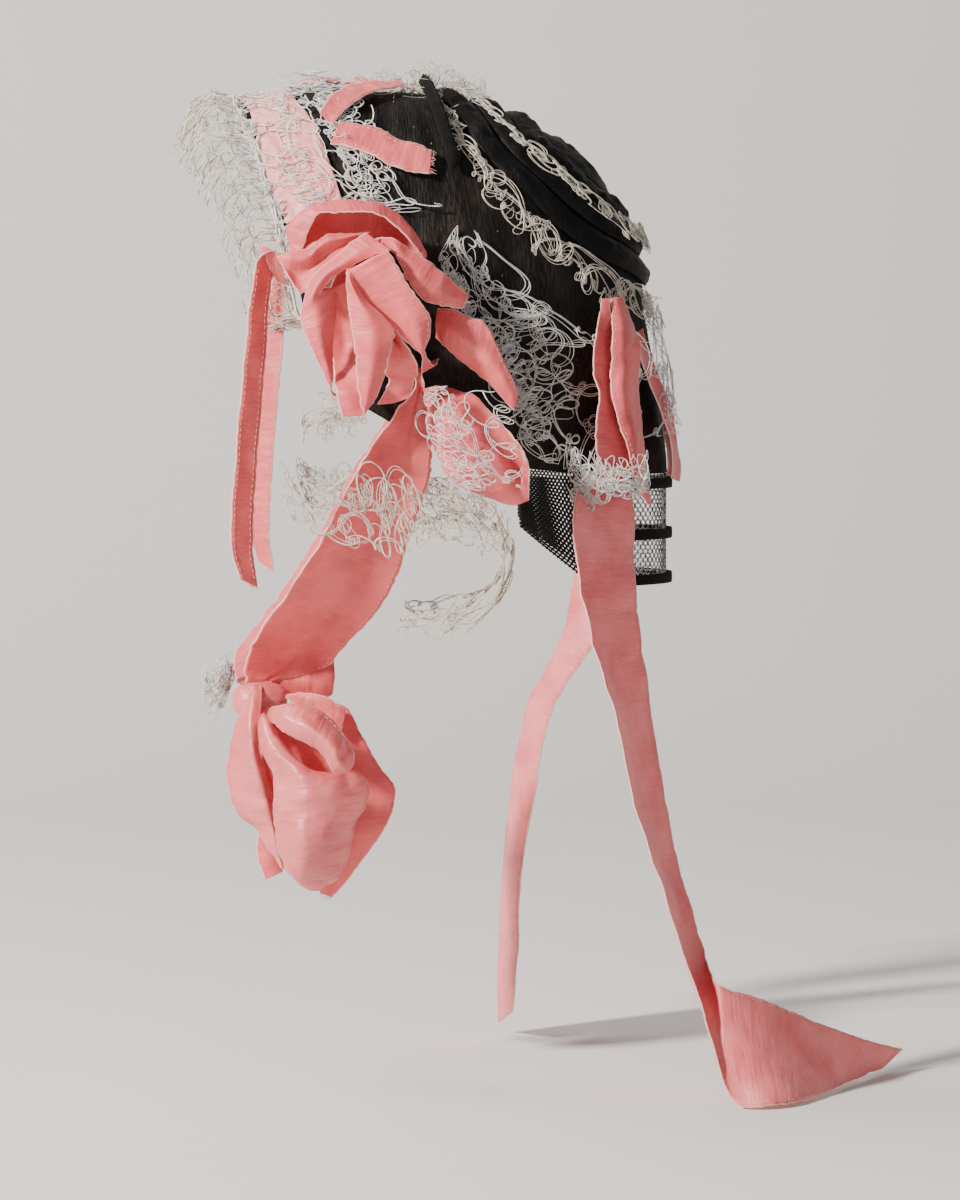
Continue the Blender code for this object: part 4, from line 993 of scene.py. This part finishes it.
# The bow loops that hang at the nape, three on each side, folded from wide ribbon and sewn to
# the crown at their upper ends.
BACK_VIEW = (400, 260, 5.6)
front_bow = [
    [(1180, 215, 50), (1210, 210, 50), (1245, 205, 46)],
    [(1185, 420, 64), (1255, 430, 64), (1330, 440, 50)],
    [(1178, 600, 66), (1260, 600, 66), (1338, 600, 50)],
    [(1180, 730, 68), (1255, 735, 68), (1330, 740, 50)],
    [(1225, 920, 68), (1290, 900, 66), (1348, 880, 50)],
    [(1275, 1060, 66), (1325, 1050, 64), (1368, 1040, 50)],
    [(1310, 1200, 62), (1345, 1200, 60), (1380, 1200, 50)],
    [(1345, 1300, 57), (1370, 1300, 56), (1392, 1295, 50)],
    [(1385, 1362, 53), (1397, 1365, 53), (1408, 1360, 51)],
]
silk_on(BOTH, "back_bow_front_{}", seen(front_bow, *BACK_VIEW), 180, 30,
        crumple=0.35, size=22, seed=81, sewn=(0,))
inner_bow = [
    [(1130, 215, 54), (1150, 215, 54), (1170, 215, 53)],
    [(1110, 330, 62), (1140, 330, 60), (1180, 330, 57)],
    [(1088, 480, 68), (1130, 480, 64), (1185, 490, 58)],
    [(1085, 640, 70), (1130, 640, 66), (1190, 650, 60)],
    [(1110, 760, 71), (1150, 760, 67), (1200, 770, 60)],
    [(1100, 900, 72), (1160, 900, 66), (1240, 920, 61)],
    [(1098, 1040, 71), (1170, 1040, 66), (1290, 1060, 60)],
    [(1105, 1180, 66), (1190, 1190, 62), (1310, 1210, 56)],
]
silk_on(BOTH, "back_bow_inner_{}", seen(inner_bow, *BACK_VIEW), 160, 30,
        crumple=0.35, size=20, seed=82)
silk_on(BOTH, "back_bow_far_{}", [
    Across(30.6, 103.2, -106, 20.4, 107.7, -102), Across(36, 107, -116, 22, 111, -112),
    Across(34, 113, -131, 14, 118, -129), Across(30, 118, -144, 8, 122, -143),
    Across(26, 121, -157, 6, 125, -160), Across(24, 121, -167, 6, 125, -169),
], 150, 30, 2, crumple=0.4, size=24, seed=83)

# The streamers: two long free ends of wide ribbon, sewn on at the nape below the bow loops.
# The left one turns over on itself and its end lies on the floor.
silk_on(["left"], "streamer_{}", [
    Across(54.9, 82.4, -162.8, 42.6, 100, -164.6), Across(74, 77, -178, 48, 103.5, -180),
    Across(80, 78, -200, 50, 103.5, -202), Across(86, 84, -232, 50, 106, -234),
    Across(92, 95, -267, 50, 111, -267), Across(98, 104, -308, 55, 118, -310),
    Across(106, 115, -340, 65, 125, -342), Across(114, 125, -371, 80, 132, -365),
    Across(122, 134, -398, 98, 134, -372), Across(130, 142, -422, 110, 138, -377),
    Across(132, 158, -424, 100, 156, -384), Across(116, 174, -424, 78, 178, -396),
    Across(76, 192, -424, 52, 202, -408), Across(36, 212, -423, 30, 222, -416),
], 420, 36, 3, crumple=0.4, size=34, seed=86, sewn=(0, -1), fray=12, look=streamer_silk)
silk_on(["right"], "streamer_{}", [
    Across(54.9, 82.4, -162.8, 42.6, 100, -164.6), Across(63, 82, -200, 48, 101, -200),
    Across(60, 79, -218, 47, 100, -218), Across(60, 75, -240, 46, 88, -245),
    Across(66, 65, -260, 52, 76, -263), Across(72, 58, -276, 56, 68, -282),
    Across(78, 52, -310, 56, 62, -314), Across(81, 48, -350, 54, 56, -352),
    Across(80, 46, -390, 50, 54, -390), Across(78, 46, -420, 52, 52, -411),
], 300, 30, 2, crumple=0.4, size=34, seed=87, sewn=(0, -1), fray=12, look=streamer_silk)


# The nape curtain: a coarse net of silvery and black threads that hangs over the nape from
# the crown's edge, with three bands of black velvet ribbon sewn across it.
RIM = 160.0


def nape_point(azimuth, depth, lift):
    """Points of the curtain: depth is in millimetres below the widest line of the crown."""
    edge = crown_point(azimuth, RIM, 0.0)
    level = np.stack([edge[..., 0], edge[..., 1]], -1)
    level = level * (1 + np.asarray(lift) / np.linalg.norm(level, axis=-1))[..., None]
    return np.stack([level[..., 0], level[..., 1], -HEIGHT - depth + 0 * level[..., 0]], -1)


def thread_look(name, light, dark, rough=0.7, sheen=0.15, glow=0.0):
    """Spun thread: two tones, changing along it."""
    look, shader, nodes, links = look_of(name, rough, sheen=sheen, specular=0.35)
    where = nodes.new("ShaderNodeTexCoord").outputs["Object"]
    tone = noise(nodes, links, where, (420, 420, 420), 3.0, 0.6)
    links.new(ramp(nodes, links, tone, (0.38, dark), (0.66, light)), shader.inputs["Base Color"])
    shader.inputs["Subsurface Weight"].default_value = glow
    shader.inputs["Subsurface Radius"].default_value = (1.0, 1.0, 1.0)
    shader.inputs["Subsurface Scale"].default_value = 0.001
    return look


silver_thread = thread_look("silvery_net_thread", (0.50, 0.51, 0.53), (0.020, 0.020, 0.022))
black_thread = thread_look("black_net_thread", (0.010, 0.009, 0.008), (0.003, 0.003, 0.003), 0.85, 0.0)
TOP, BOTTOM, BOTTOM_AT_ENDS, START, END_SLOPE = 70.4, 118.0, 91.0, 130.0, 20.0


def coarse_net(azimuth, spread, turns, thin):
    """Upright threads that swing left and right by turns, so that neighbours meet as a net."""
    from_end = np.minimum(1, np.minimum(azimuth - START, 360 - START - azimuth) / END_SLOPE)
    ends = BOTTOM_AT_ENDS + (BOTTOM - BOTTOM_AT_ENDS) * from_end
    depth = TOP + (ends[:, None] - TOP) * np.linspace(0, 1, turns * 2 + 1)[None, :]
    swing = spread * 0.56 * np.where(np.arange(turns * 2 + 1) % 4 < 2, 1, -1)
    swing = swing[None, :] * np.where(np.arange(len(azimuth)) % 2, 1, -1)[:, None]
    points = nape_point(azimuth[:, None] + swing, depth, NET_WALL / 2 + 0.15 * np.sign(swing))
    return points, points * (1, 1, 0), thin


SILVER_FROM, SILVER_TO, SILVER_SPREAD, BLACK_SPREAD, INSET = 157.0, 203.0, 0.92, 0.50, 0.4
middle = np.arange(SILVER_FROM, SILVER_TO, SILVER_SPREAD)
silver_net = strands("nape_curtain_net", [coarse_net(middle, SILVER_SPREAD, 26, 0.26)], silver_thread)
dress(silver_net, "black_net", "nape_curtain")
left_end = np.arange(START + INSET, SILVER_FROM, BLACK_SPREAD)
right_end = np.arange(SILVER_TO, 360 - START - INSET, BLACK_SPREAD)
nets = [coarse_net(end, BLACK_SPREAD, 24, 0.50) for end in (left_end, right_end)]
dress(strands("nape_curtain_black_net", nets, black_thread), "black_net")
VelvetBand = namedtuple("VelvetBand", "name depth start")
velvet_bands = [
    VelvetBand("velvet_band_top", 72.0, 160.0), VelvetBand("velvet_band_middle", 94.0, 144.0),
    VelvetBand("velvet_band_hem", 113.5, 148.0),
]
BAND_HEIGHT, BAND_LIFT, BAND_WALL = 4.4, 2.7, 1.5
for band_row in velvet_bands:
    azimuth = np.linspace(band_row.start, 360 - band_row.start, 160)[:, None]
    across = np.linspace(0, 1, 9)[None, :]
    depth = band_row.depth + BAND_HEIGHT * across
    swell = 0.15 * np.sin(np.pi * across) + 0 * azimuth
    grid = nape_point(azimuth + 0 * depth, depth + 0 * azimuth, BAND_LIFT + swell)
    ribbon_band = cloth(band_row.name + "_pile", grid, BAND_WALL, velvet)
    dress(ribbon_band, "black_velvet", band_row.name)


# Lace: cotton thread looped by hand. Every edging is made of real threads: wavy rows that
# meet as a net, curly loops, and cords along the seams.
lace_white = thread_look("lace_thread_white", (0.86, 0.83, 0.78), (0.60, 0.56, 0.51), glow=0.6)
# The cream thread is darker partly from the thread's own age and partly as painted shade: its lower tone
# stands in for the shadow among the layered threads.
lace_cream_and_shade = thread_look("lace_thread_cream_and_shade", (0.68, 0.60, 0.49), (0.42, 0.35, 0.27), glow=0.6)
lace_ecru = thread_look("lace_thread_ecru", (0.78, 0.69, 0.57), (0.50, 0.42, 0.33), glow=0.6)


def over(grid, out, s, t, lift):
    """Points over a grid: s along it and t across it from 0 to 1, t may pass the edges."""
    rows, columns = grid.shape[:2]
    s, t, lift = np.broadcast_arrays(s, t, lift)
    i, j = np.clip(s, 0, 1) * (rows - 1), np.clip(t, 0, 1) * (columns - 1)
    i0, j0 = np.minimum(i.astype(int), rows - 2), np.minimum(j.astype(int), columns - 2)
    f, g = (i - i0)[..., None], (j - j0)[..., None]
    past = (t - np.clip(t, 0, 1))[..., None] * (columns - 1)
    both = np.concatenate([grid, out], -1)
    a, b, c, d = both[i0, j0], both[i0, j0 + 1], both[i0 + 1, j0], both[i0 + 1, j0 + 1]
    mixed = (a * (1 - g) + b * g) * (1 - f) + (c * (1 - g) + d * g) * f
    reach = (b - a)[..., :3] * past
    return mixed[..., :3] + reach + mixed[..., 3:] * np.asarray(lift)[..., None]


def net_rows(grid, out, rows, pitch, swing, seed, lift, thin):
    """Wavy doubled threads along a grid, each a half turn from the next, so that they meet as a net."""
    rng = np.random.default_rng(seed)
    length = lengths_of(grid, 0).sum(0)[len(grid[0]) // 2]
    waves = max(2, int(length / pitch))
    s = np.linspace(0, 1, waves * 9 + 1)
    batches = []
    for k in range(rows):
        for twin in range(2):
            phase = np.pi * k + 0.35 * twin
            bend = 0.10 * np.sin(2 * np.pi * (s * rng.uniform(9, 21) + rng.uniform()))
            uneven = np.sin(2 * np.pi * (s * rng.uniform(12, 30) + rng.uniform()))
            turn = 2 * np.pi * waves * s + phase + 0.9 * uneven
            t = (k + 0.5 + swing * np.cos(turn) + bend) / rows
            swell = np.sin(2 * np.pi * (s * 17 + rng.uniform()))
            up = lift + 0.6 * np.sin(turn + 1.2) + 0.5 * twin + 0.5 * swell
            slip = 0.25 * pitch / length * np.sin(2 * turn)
            line = over(grid, out, s + slip, t, up)
            batches.append((line[None], over(grid, out, s, t, up + 5)[None] - line[None], thin))
    return batches


def cord(grid, out, t, lift, thin, seed):
    """One thread drawn nearly straight along a grid."""
    rng = np.random.default_rng(seed)
    s = np.linspace(0, 1, 160)
    wander = sum(np.sin(2 * np.pi * (s * pace + rng.uniform())) for pace in (7, 17, 31)) / 3
    width = lengths_of(grid, 1).sum(1).mean()
    line = over(grid, out, s, t + 0.4 * wander / width, lift + 0.4 * np.roll(wander, 9))
    return [(line[None], over(grid, out, s, t, lift + 5)[None] - line[None], thin)]


def wave(u, pace, rng):
    """A sine wave along u that starts anywhere."""
    return np.sin(u * pace + rng.uniform(0, 2 * np.pi))


def tangle(grid, out, count, middle, spread, radius, advance, seed, lift, thin, start=0.0, end=1.0,
           whole=0.5, twins=1):
    """Loose threads that run along a grid in uneven loops, turning now one way and now the other.

    middle and spread give where across the grid they run, radius the size of their loops, and
    advance how far they get for each turn. whole is the least share of the way that one takes.
    """
    rng = np.random.default_rng(seed)
    length, width = lengths_of(grid, 0).sum(0).mean(), lengths_of(grid, 1).sum(1).mean()
    step, window_steps = 0.55, 46
    batches = []
    for _ in range(count):
        span = (end - start) * rng.uniform(whole, 1.0)
        begin = start + (end - start - span) * rng.uniform()
        u = np.arange(max(30, int(span * length / advance / step / radius))) * step
        tight = 0.85 + 0.45 * wave(u, 0.37, rng) + 0.3 * wave(u, 0.83, rng)
        hand = np.tanh(3 * (wave(u, 0.09, rng) + 0.7 * wave(u, 0.15, rng) + 0.35))
        bend = tight * hand / (1 + 0.45 * wave(u, 0.05, rng))
        angle = np.cumsum(bend) * step
        path = np.cumsum([np.cos(angle), np.sin(angle)], 1) * step * radius
        window = min(window_steps, len(u) // 2)
        padded = np.pad(path, ((0, 0), (window // 2, window - window // 2 - 1)), "edge")
        path = path - [np.convolve(row, np.ones(window) / window, "valid") for row in padded]
        centre = middle + spread * (rng.uniform(-0.5, 0.5) + 0.35 * wave(u, 0.021, rng))
        up = lift * (1 + 0.6 * wave(u, 0.31, rng)) + 0.35 * wave(u, 0.57, rng)
        along = begin + span * np.linspace(0, 1, len(u)) + path[0] / length
        for twin in range(twins):
            apart = twin * (0.65 + 0.35 * wave(u, 0.05, rng))
            across = centre + (path[1] + apart * wave(u, 0.07, rng)) / width
            line = over(grid, out, along + apart / length, across, up + 0.3 * twin)[None]
            batches.append((line, np.broadcast_to(THREAD_UP, line.shape), thin * rng.uniform(0.8, 1.2)))
    return batches


def loops(grid, out, count, root, reach, wide, seed, lift, thin, start=0.0, end=1.0, rise=0.35):
    """Separate loops of thread that stand out from a line along a grid."""
    rng = np.random.default_rng(seed)
    length, width = lengths_of(grid, 0).sum(0).mean(), lengths_of(grid, 1).sum(1).mean()
    s = np.sort(rng.uniform(start, end, count))[:, None]
    turn = 2 * np.pi * np.linspace(0, 1, 15)[None, :]
    size = rng.uniform(0.6, 1.25, (count, 1))
    ahead = reach * size * (1 - np.cos(turn)) / 2
    aside = wide / 2 * size * np.sin(turn) * (0.4 + 0.6 * (1 - np.cos(turn)) / 2)
    aside = aside + 0.3 * ahead * rng.normal(size=(count, 1)) + 0.12 * wide * np.sin(2 * turn + s * 900)
    up = lift + rise * ahead * rng.uniform(-0.4, 1.0, (count, 1)) + 0.3 * np.sin(turn + s * 500)
    place = root + 0.05 * rng.normal(size=(count, 1))
    line = over(grid, out, s + aside / length, place + ahead / width, up)
    return [(line, np.broadcast_to(THREAD_UP, line.shape), thin)]


# The face frill: a net of long rounded cells that stands up round the face and folds forward,
# on two header cords.
Reach = namedtuple("Reach", "azimuth down forward drop outward")
reach = [
    Reach(0, 22.1, 30, 22, 0), Reach(24, 31.4, 30, 22, 4), Reach(43, 51.6, 30, 20, 5),
    Reach(53, 69, 28, 14, 2), Reach(59, 85, 24, 8, 0), Reach(63.4, 97, 20, 2, -2),
]
far_half = [(-r.azimuth, r.down, r.forward, r.drop, -r.outward) for r in reversed(reach[1:])]
lines = curve_through(far_half + [tuple(r) for r in reach], 260)
t = np.linspace(0, 1, 25)[None, :]
stand, flute, flutes = 7.0, 2.2, 13
seam = crown_point(lines[:, 0], lines[:, 1], NET_WALL)
seam_out = crown_point(lines[:, 0], lines[:, 1], NET_WALL + 1) - seam
seam_out /= np.linalg.norm(seam_out, axis=-1, keepdims=True)
fluting = flute * np.cos(np.linspace(0, flutes * 2 * np.pi, 261))[:, None] * t
rise = stand * np.sin(np.pi * np.minimum(1.0, t * 1.2)) + fluting
reached = np.stack([lines[:, 4:5] * t, -lines[:, 2:3] * t, -lines[:, 3:4] * t * t], -1)
frill_grid = seam[:, None] + seam_out[:, None] * rise[..., None] + reached
frill_out = outward(frill_grid)
inner_columns = 21
batches = net_rows(frill_grid[:, :inner_columns], frill_out[:, :inner_columns], rows=3, pitch=12.5,
                   swing=0.60, seed=91, lift=0.5, thin=0.30)
batches += loops(frill_grid, frill_out, 18, 0.66, 8.0, 6.5, 92, lift=0.0, thin=0.26, rise=0.1)
batches += loops(frill_grid, frill_out, 20, 0.04, 9.0, 5.2, 93, lift=1.0, thin=0.28, rise=0.1)
# The cell net is in the darker cream thread, partly painted shade among its layers; the header cords are
# white.
dress(strands("face_frill_net", batches, lace_cream_and_shade, 3), "white_lace")
batches = tangle(frill_grid, frill_out, 2, -0.10, 0.10, 1.5, 0.36, 96, lift=1.0, thin=0.26)
for k, place in enumerate((0.0, 0.02, 0.04)):
    batches += cord(frill_grid, frill_out, place, 1.0 + 0.5 * (k % 2), 0.45, 194 + k)
frill = strands("face_frill_header", batches, lace_white, 3)
dress(frill, "white_lace", "face_frill_left", "face_frill_right")


def edging(name, grid, nodes, threads, standing, look):
    """An edging of tangled threads and loops; both tables hold the settings of tangle() and loops()."""
    out = outward(grid)
    batches = []
    for k, row in enumerate(threads):
        batches += tangle(grid, out, *row[:5], len(name) * 11 + 7 * k, **row[5])
    for k, row in enumerate(standing):
        batches += loops(grid, out, *row[:4], len(name) * 13 + 5 * k, **row[4])
    dress(strands(name, batches, look, 3), "white_lace", *nodes)


# The loose net of looped thread that is sewn over the head band, and the edging of white
# thread along the band's back.
cover_out = outward(band_grid)
cover = tangle(band_grid, cover_out, 6, 0.5, 0.9, 3.4, 0.42, 101, lift=1.5, thin=0.20, twins=2)
cover += loops(band_grid, cover_out, 120, 0.35, 10.0, 6.0, 102, lift=1.4, thin=0.19, rise=0.05)
cover += tangle(band_grid, cover_out, 2, -0.12, 0.14, 1.8, 0.40, 104, lift=1.2, thin=0.22, twins=2)
dress(strands("head_band_net_cover", cover, lace_white, 3), "white_lace")
band_lace = strip_grid([
    Strip(0, 9.5, 180, 1), Strip(52, 28, 76, 22), Strip(68, 47, 82, 44), Strip(79, 64, 92, 61),
    Strip(84, 74, 104, 68),
], 280, 14, NET_WALL + CLEAR + 1.2)
edging("band_lace_threads", band_lace, ["band_lace"], [
    (3, 0.30, 0.50, 2.6, 0.28, dict(lift=5.0, thin=0.18, start=0.42, end=0.58, twins=2)),
    (4, 0.10, 0.16, 1.8, 0.36, dict(lift=1.2, thin=0.21, twins=2)),
    (2, 0.35, 0.20, 2.4, 0.42, dict(lift=1.2, thin=0.20, twins=2)),
    (2, 0.55, 0.20, 2.8, 0.36, dict(lift=1.2, thin=0.21, start=0.02, end=0.40, twins=2)),
    (2, 0.55, 0.20, 2.8, 0.36, dict(lift=1.2, thin=0.21, start=0.60, end=0.98, twins=2)),
    (1, 0.98, 0.10, 4.2, 0.50, dict(lift=1.2, thin=0.24, start=0.04, end=0.34, twins=2)),
    (1, 0.98, 0.10, 4.2, 0.50, dict(lift=1.2, thin=0.24, start=0.66, end=0.96, twins=2)),
], [
    (60, 0.05, 7.0, 4.6, dict(lift=0.8, thin=0.20)),
    (30, 0.35, 8.0, 5.0, dict(lift=0.8, thin=0.20, rise=0.1)),
], lace_white)


# The two edgings that follow the folds: cotton thread, ecru with age, gathered tightly and
# sewn down along the rolls.
def closed_strip(rows, steps, columns, lift):
    """A grid over a closed strip of the crown; the table gives its left half."""
    loop = [tuple(r) for r in rows] + [(-a1, d1, -a2, d2) for a1, d1, a2, d2 in reversed(rows[1:-1])]
    plan = np.array([[*chart(a1, d1), *chart(a2, d2)] for a1, d1, a2, d2 in loop])
    lines = curve_through(plan, steps, True)
    lines = np.concatenate([lines, lines[:1]])
    t = np.linspace(0, 1, columns + 1)[None, :, None]
    return on_chart(lines[:, None, :2] * (1 - t) + lines[:, None, 2:] * t, lift)


lower_edging = closed_strip([
    Strip(180, 5.5, 180, 1), Strip(132, 13, 125, 8), Strip(123, 28, 116, 27),
    Strip(122, 44, 115, 45), Strip(129, 59, 123, 63), Strip(142, 74, 138, 80),
    Strip(157, 82, 156, 89), Strip(180, 87, 180, 94),
], 320, 8, NET_WALL + CLEAR + 1.3)
edging("crown_lace_lower_threads", lower_edging, ["crown_lace_lower"], [
    (2, 0.30, 0.30, 1.8, 0.46, dict(lift=1.0, thin=0.19, whole=0.9, twins=2)),
    (2, 0.60, 0.60, 2.2, 0.52, dict(lift=1.8, thin=0.18, whole=0.8, twins=2)),
    (1, 0.05, 0.10, 2.6, 0.85, dict(lift=1.4, thin=0.22, whole=1.0, twins=3)),
], [
    (60, 0.05, 5.6, 3.0, dict(lift=1.0, thin=0.17)), (30, 0.5, 6.0, 3.2, dict(lift=1.0, thin=0.17)),
], lace_ecru)
upper_edging = closed_strip([
    Strip(180, 17, 180, 13), Strip(150, 24, 143, 21), Strip(142, 36, 138, 33),
    Strip(145, 48, 141, 49), Strip(155, 60, 152, 63), Strip(167, 68, 166, 72),
    Strip(180, 70, 180, 75),
], 260, 8, 7.6)
edging("crown_lace_upper_threads", upper_edging, ["crown_lace_upper"], [
    (4, 0.40, 0.60, 1.8, 0.45, dict(lift=0.8, thin=0.19, whole=0.7, twins=2)),
], [
    (40, 0.1, 5.6, 3.2, dict(lift=0.8, thin=0.17)),
], lace_ecru)

# The gathered lace behind and below each ear, in tangled loops that are sewn to the crown and
# the ribbons, and the scrap of it that is caught in the knot under the chin.
on_crown = strip_grid([
    Strip(104, 80, 112, 70), Strip(112, 92, 122, 82), Strip(120, 106, 138, 92),
    Strip(124, 122, 146, 112), Strip(128, 140, 148, 132), Strip(134, 154, 146, 158),
], 140, 12, NET_WALL + CLEAR + 1.4, both_sides=False)
below_ear = between([
    Across(92, -48, -160, 94, -44, -182), Across(92, -34, -166, 95, -30, -188),
    Across(92, -16, -166, 96, -6, -196), Across(92, 0, -164, 98, 6, -194),
    Across(94, 14, -170, 98, 16, -190), Across(93, 36, -173.2, 98, 36, -196),
    Across(92, 52, -186, 92, 46, -208), Across(84, 48, -212, 84, 36, -226),
    Across(78, 24, -218, 78, 20, -238), Across(74, 4, -222, 74, 2, -232),
], 200, 12)
for side, flip in (("left", 1), ("right", -1)):
    edging(f"crown_side_lace_{side}_threads", on_crown * (flip, 1, 1), [f"crown_side_lace_{side}"], [
        (4, 0.14, 0.24, 2.4, 0.34, dict(lift=2.0, thin=0.20, whole=0.6, twins=2)),
        (6, 0.58, 0.56, 2.6, 0.40, dict(lift=1.8, thin=0.19, whole=0.35, twins=2)),
        (3, 0.30, 0.60, 4.0, 0.60, dict(lift=2.2, thin=0.19, whole=0.8, twins=2)),
        (1, 1.02, 0.10, 2.8, 0.55, dict(lift=1.2, thin=0.20, whole=0.6, twins=3)),
    ], [
        (24, 0.0, 10.0, 6.0, dict(lift=1.6, thin=0.20)), (20, 0.45, 10.0, 6.0, dict(lift=1.6, thin=0.18)),
    ], lace_white)
    edging(f"ear_lace_{side}_threads", below_ear * (flip, 1, 1), [f"ear_lace_{side}"], [
        (3, 0.28, 0.35, 3.0, 0.32, dict(lift=1.0, thin=0.21, whole=0.8, end=0.60, twins=2)),
        (3, 0.66, 0.35, 3.4, 0.38, dict(lift=1.0, thin=0.20, whole=0.8, end=0.60, twins=2)),
        (1, 0.92, 0.05, 1.6, 0.60, dict(lift=0.5, thin=0.24, whole=0.95, start=0.02, end=0.55, twins=3)),
        (2, 0.40, 0.20, 2.2, 0.42, dict(lift=0.6, thin=0.22, whole=0.95, start=0.55, twins=3)),
        (2, 0.80, 0.25, 2.6, 0.45, dict(lift=0.6, thin=0.20, whole=0.95, start=0.60, twins=2)),
    ], [
        (30, 0.02, 9.0, 6.0, dict(lift=0.6, thin=0.20, end=0.60)),
        (20, 0.55, 9.0, 6.0, dict(lift=0.6, thin=0.20, end=0.62)),
    ], lace_cream_and_shade)
    loops_grid = facets(seen([
        [(690, 0, 104), (800, 0, 108), (980, 20, 106)],
        [(700, 130, 104), (820, 130, 112), (1030, 130, 109)],
        [(740, 260, 104), (880, 270, 112), (1080, 260, 111)],
        [(800, 380, 103), (930, 390, 109), (1090, 400, 106)],
    ], *EAR_VIEW), 40, 12)
    edging(f"ear_lace_{side}_loop_threads", loops_grid * (flip, 1, 1), [], [
        (5, 0.35, 0.60, 2.6, 0.28, dict(lift=0.6, thin=0.17, whole=0.8, twins=2)),
        (2, 0.85, 0.20, 2.4, 0.40, dict(lift=0.6, thin=0.18, whole=0.9, twins=2)),
    ], [
        (24, 0.1, 9.0, 6.0, dict(lift=0.6, thin=0.19)),
    ], lace_white)
    scrap_grid = facets(seen([
        [(420, 70, 93), (420, 130, 93), (420, 190, 93)], [(310, 50, 92), (310, 120, 92), (310, 200, 92)],
        [(215, 70, 90), (215, 140, 90), (220, 230, 90)],
    ], *EAR_VIEW), 24, 8)
    edging(f"ear_scrap_{side}_threads", scrap_grid * (flip, 1, 1), [], [
        (3, 0.5, 0.80, 2.6, 0.22, dict(lift=0.6, thin=0.19, whole=0.8, twins=2)),
    ], [(8, 0.4, 9.0, 6.0, dict(lift=0.6, thin=0.19))], lace_cream_and_shade)
chin_grid = between([
    Across(-4, -71, -256.6, -4, -71, -250), Across(2, -76, -264, 4, -72, -238),
    Across(6, -84, -262, 8, -84, -246),
], 40, 12)
edging("chin_lace_threads", chin_grid, ["chin_lace"], [
    (6, 0.5, 0.8, 2.4, 0.26, dict(lift=0.8, thin=0.21, whole=0.8, twins=2)),
], [
    (22, 0.2, 9.0, 6.0, dict(lift=0.6, thin=0.20)),
], lace_white)

# Lace that trails down the back over the net, and the nest of loose thread that is caught at
# the top of each streamer.
trailing = strip_grid([Strip(146, 94, 186, 90), Strip(150, 122, 188, 122), Strip(150, 152, 190, 152)], 60, 12,
                      NET_WALL + 4.0, both_sides=False)
trailing_out = outward(trailing)
batches = tangle(trailing, trailing_out, 10, 0.5, 0.9, 2.6, 0.34, 111,
                 lift=2.4, thin=0.19, whole=0.6, twins=2)
batches += loops(trailing, trailing_out, 40, 0.5, 9.0, 5.6, 112, lift=2.0, thin=0.19)
NEST_VIEW = (387, 176, 4.785)
for side, flip in (("left", 1), ("right", -1)):
    nest = facets(seen([
        [(860, 1270, 62), (870, 1400, 63), (890, 1560, 62)],
        [(980, 1300, 70), (1000, 1430, 73), (1020, 1540, 70)],
        [(1100, 1340, 74), (1110, 1440, 77), (1120, 1520, 74)],
        [(1240, 1290, 70), (1245, 1410, 71), (1250, 1500, 68)],
    ], *NEST_VIEW), 40, 10) * (flip, 1, 1)
    nest_out = outward(nest)
    batches += tangle(nest, nest_out, 6, 0.5, 0.8, 2.6, 0.30, 113, lift=1.4, thin=0.19, whole=0.7, twins=2)
    batches += tangle(nest, nest_out, 5, 0.7, 0.5, 5.0, 0.90, 115, lift=1.0, thin=0.19, whole=0.8, twins=3)
    batches += loops(nest, nest_out, 20, 0.1, 9.0, 5.0, 114, lift=1.2, thin=0.19)
dress(strands("trailing_lace_threads", batches, lace_white, 3), "white_lace")

# The tuft of aged lace at the top of the head, where both edgings meet and their ends are
# gathered up.
TUFT_VIEW = (100, 40, 1.0)
tuft_grid = facets(seen([
    [(252, 66, 12), (252, 38, 12)], [(300, 60, 12), (300, 30, 12)], [(345, 56, 12), (345, 27, 12)],
    [(385, 66, 12), (385, 44, 12)],
], *TUFT_VIEW), 40, 8)
edging("top_tuft_threads", tuft_grid, [], [
    (7, 0.45, 0.7, 2.6, 0.30, dict(lift=3.0, thin=0.18, whole=0.6, twins=2)),
], [(24, 0.3, 8.0, 5.0, dict(lift=2.0, thin=0.16))], lace_ecru)

# Loose ends of thread that have come out of the lace with age and stand off the top of
# the head.
strays, stray_radius, highest = 44, 0.11, 17
rng = np.random.default_rng(121)
t = np.linspace(0, 1, 16)[None, :]
roots = crown_point(rng.uniform(-40, 220, (strays, 1)), rng.uniform(2, 30, (strays, 1)), 2.0)
way = rng.normal(size=(strays, 1, 3)) * (0.7, 1.0, 0.25) + (0, 0.2, 0.35)
way = way / np.linalg.norm(way, axis=-1, keepdims=True) * rng.uniform(10, 26, (strays, 1, 1))
bend = rng.normal(size=(strays, 1, 3)) * 5
wisps = roots + way * t[..., None] + bend * np.sin(np.pi * t)[..., None]
wisps[..., 2] = np.minimum(wisps[..., 2], highest)
ups = np.broadcast_to(THREAD_UP, wisps.shape)
dress(strands("stray_threads", [(wisps, ups, stray_radius)], lace_ecru), "white_lace")
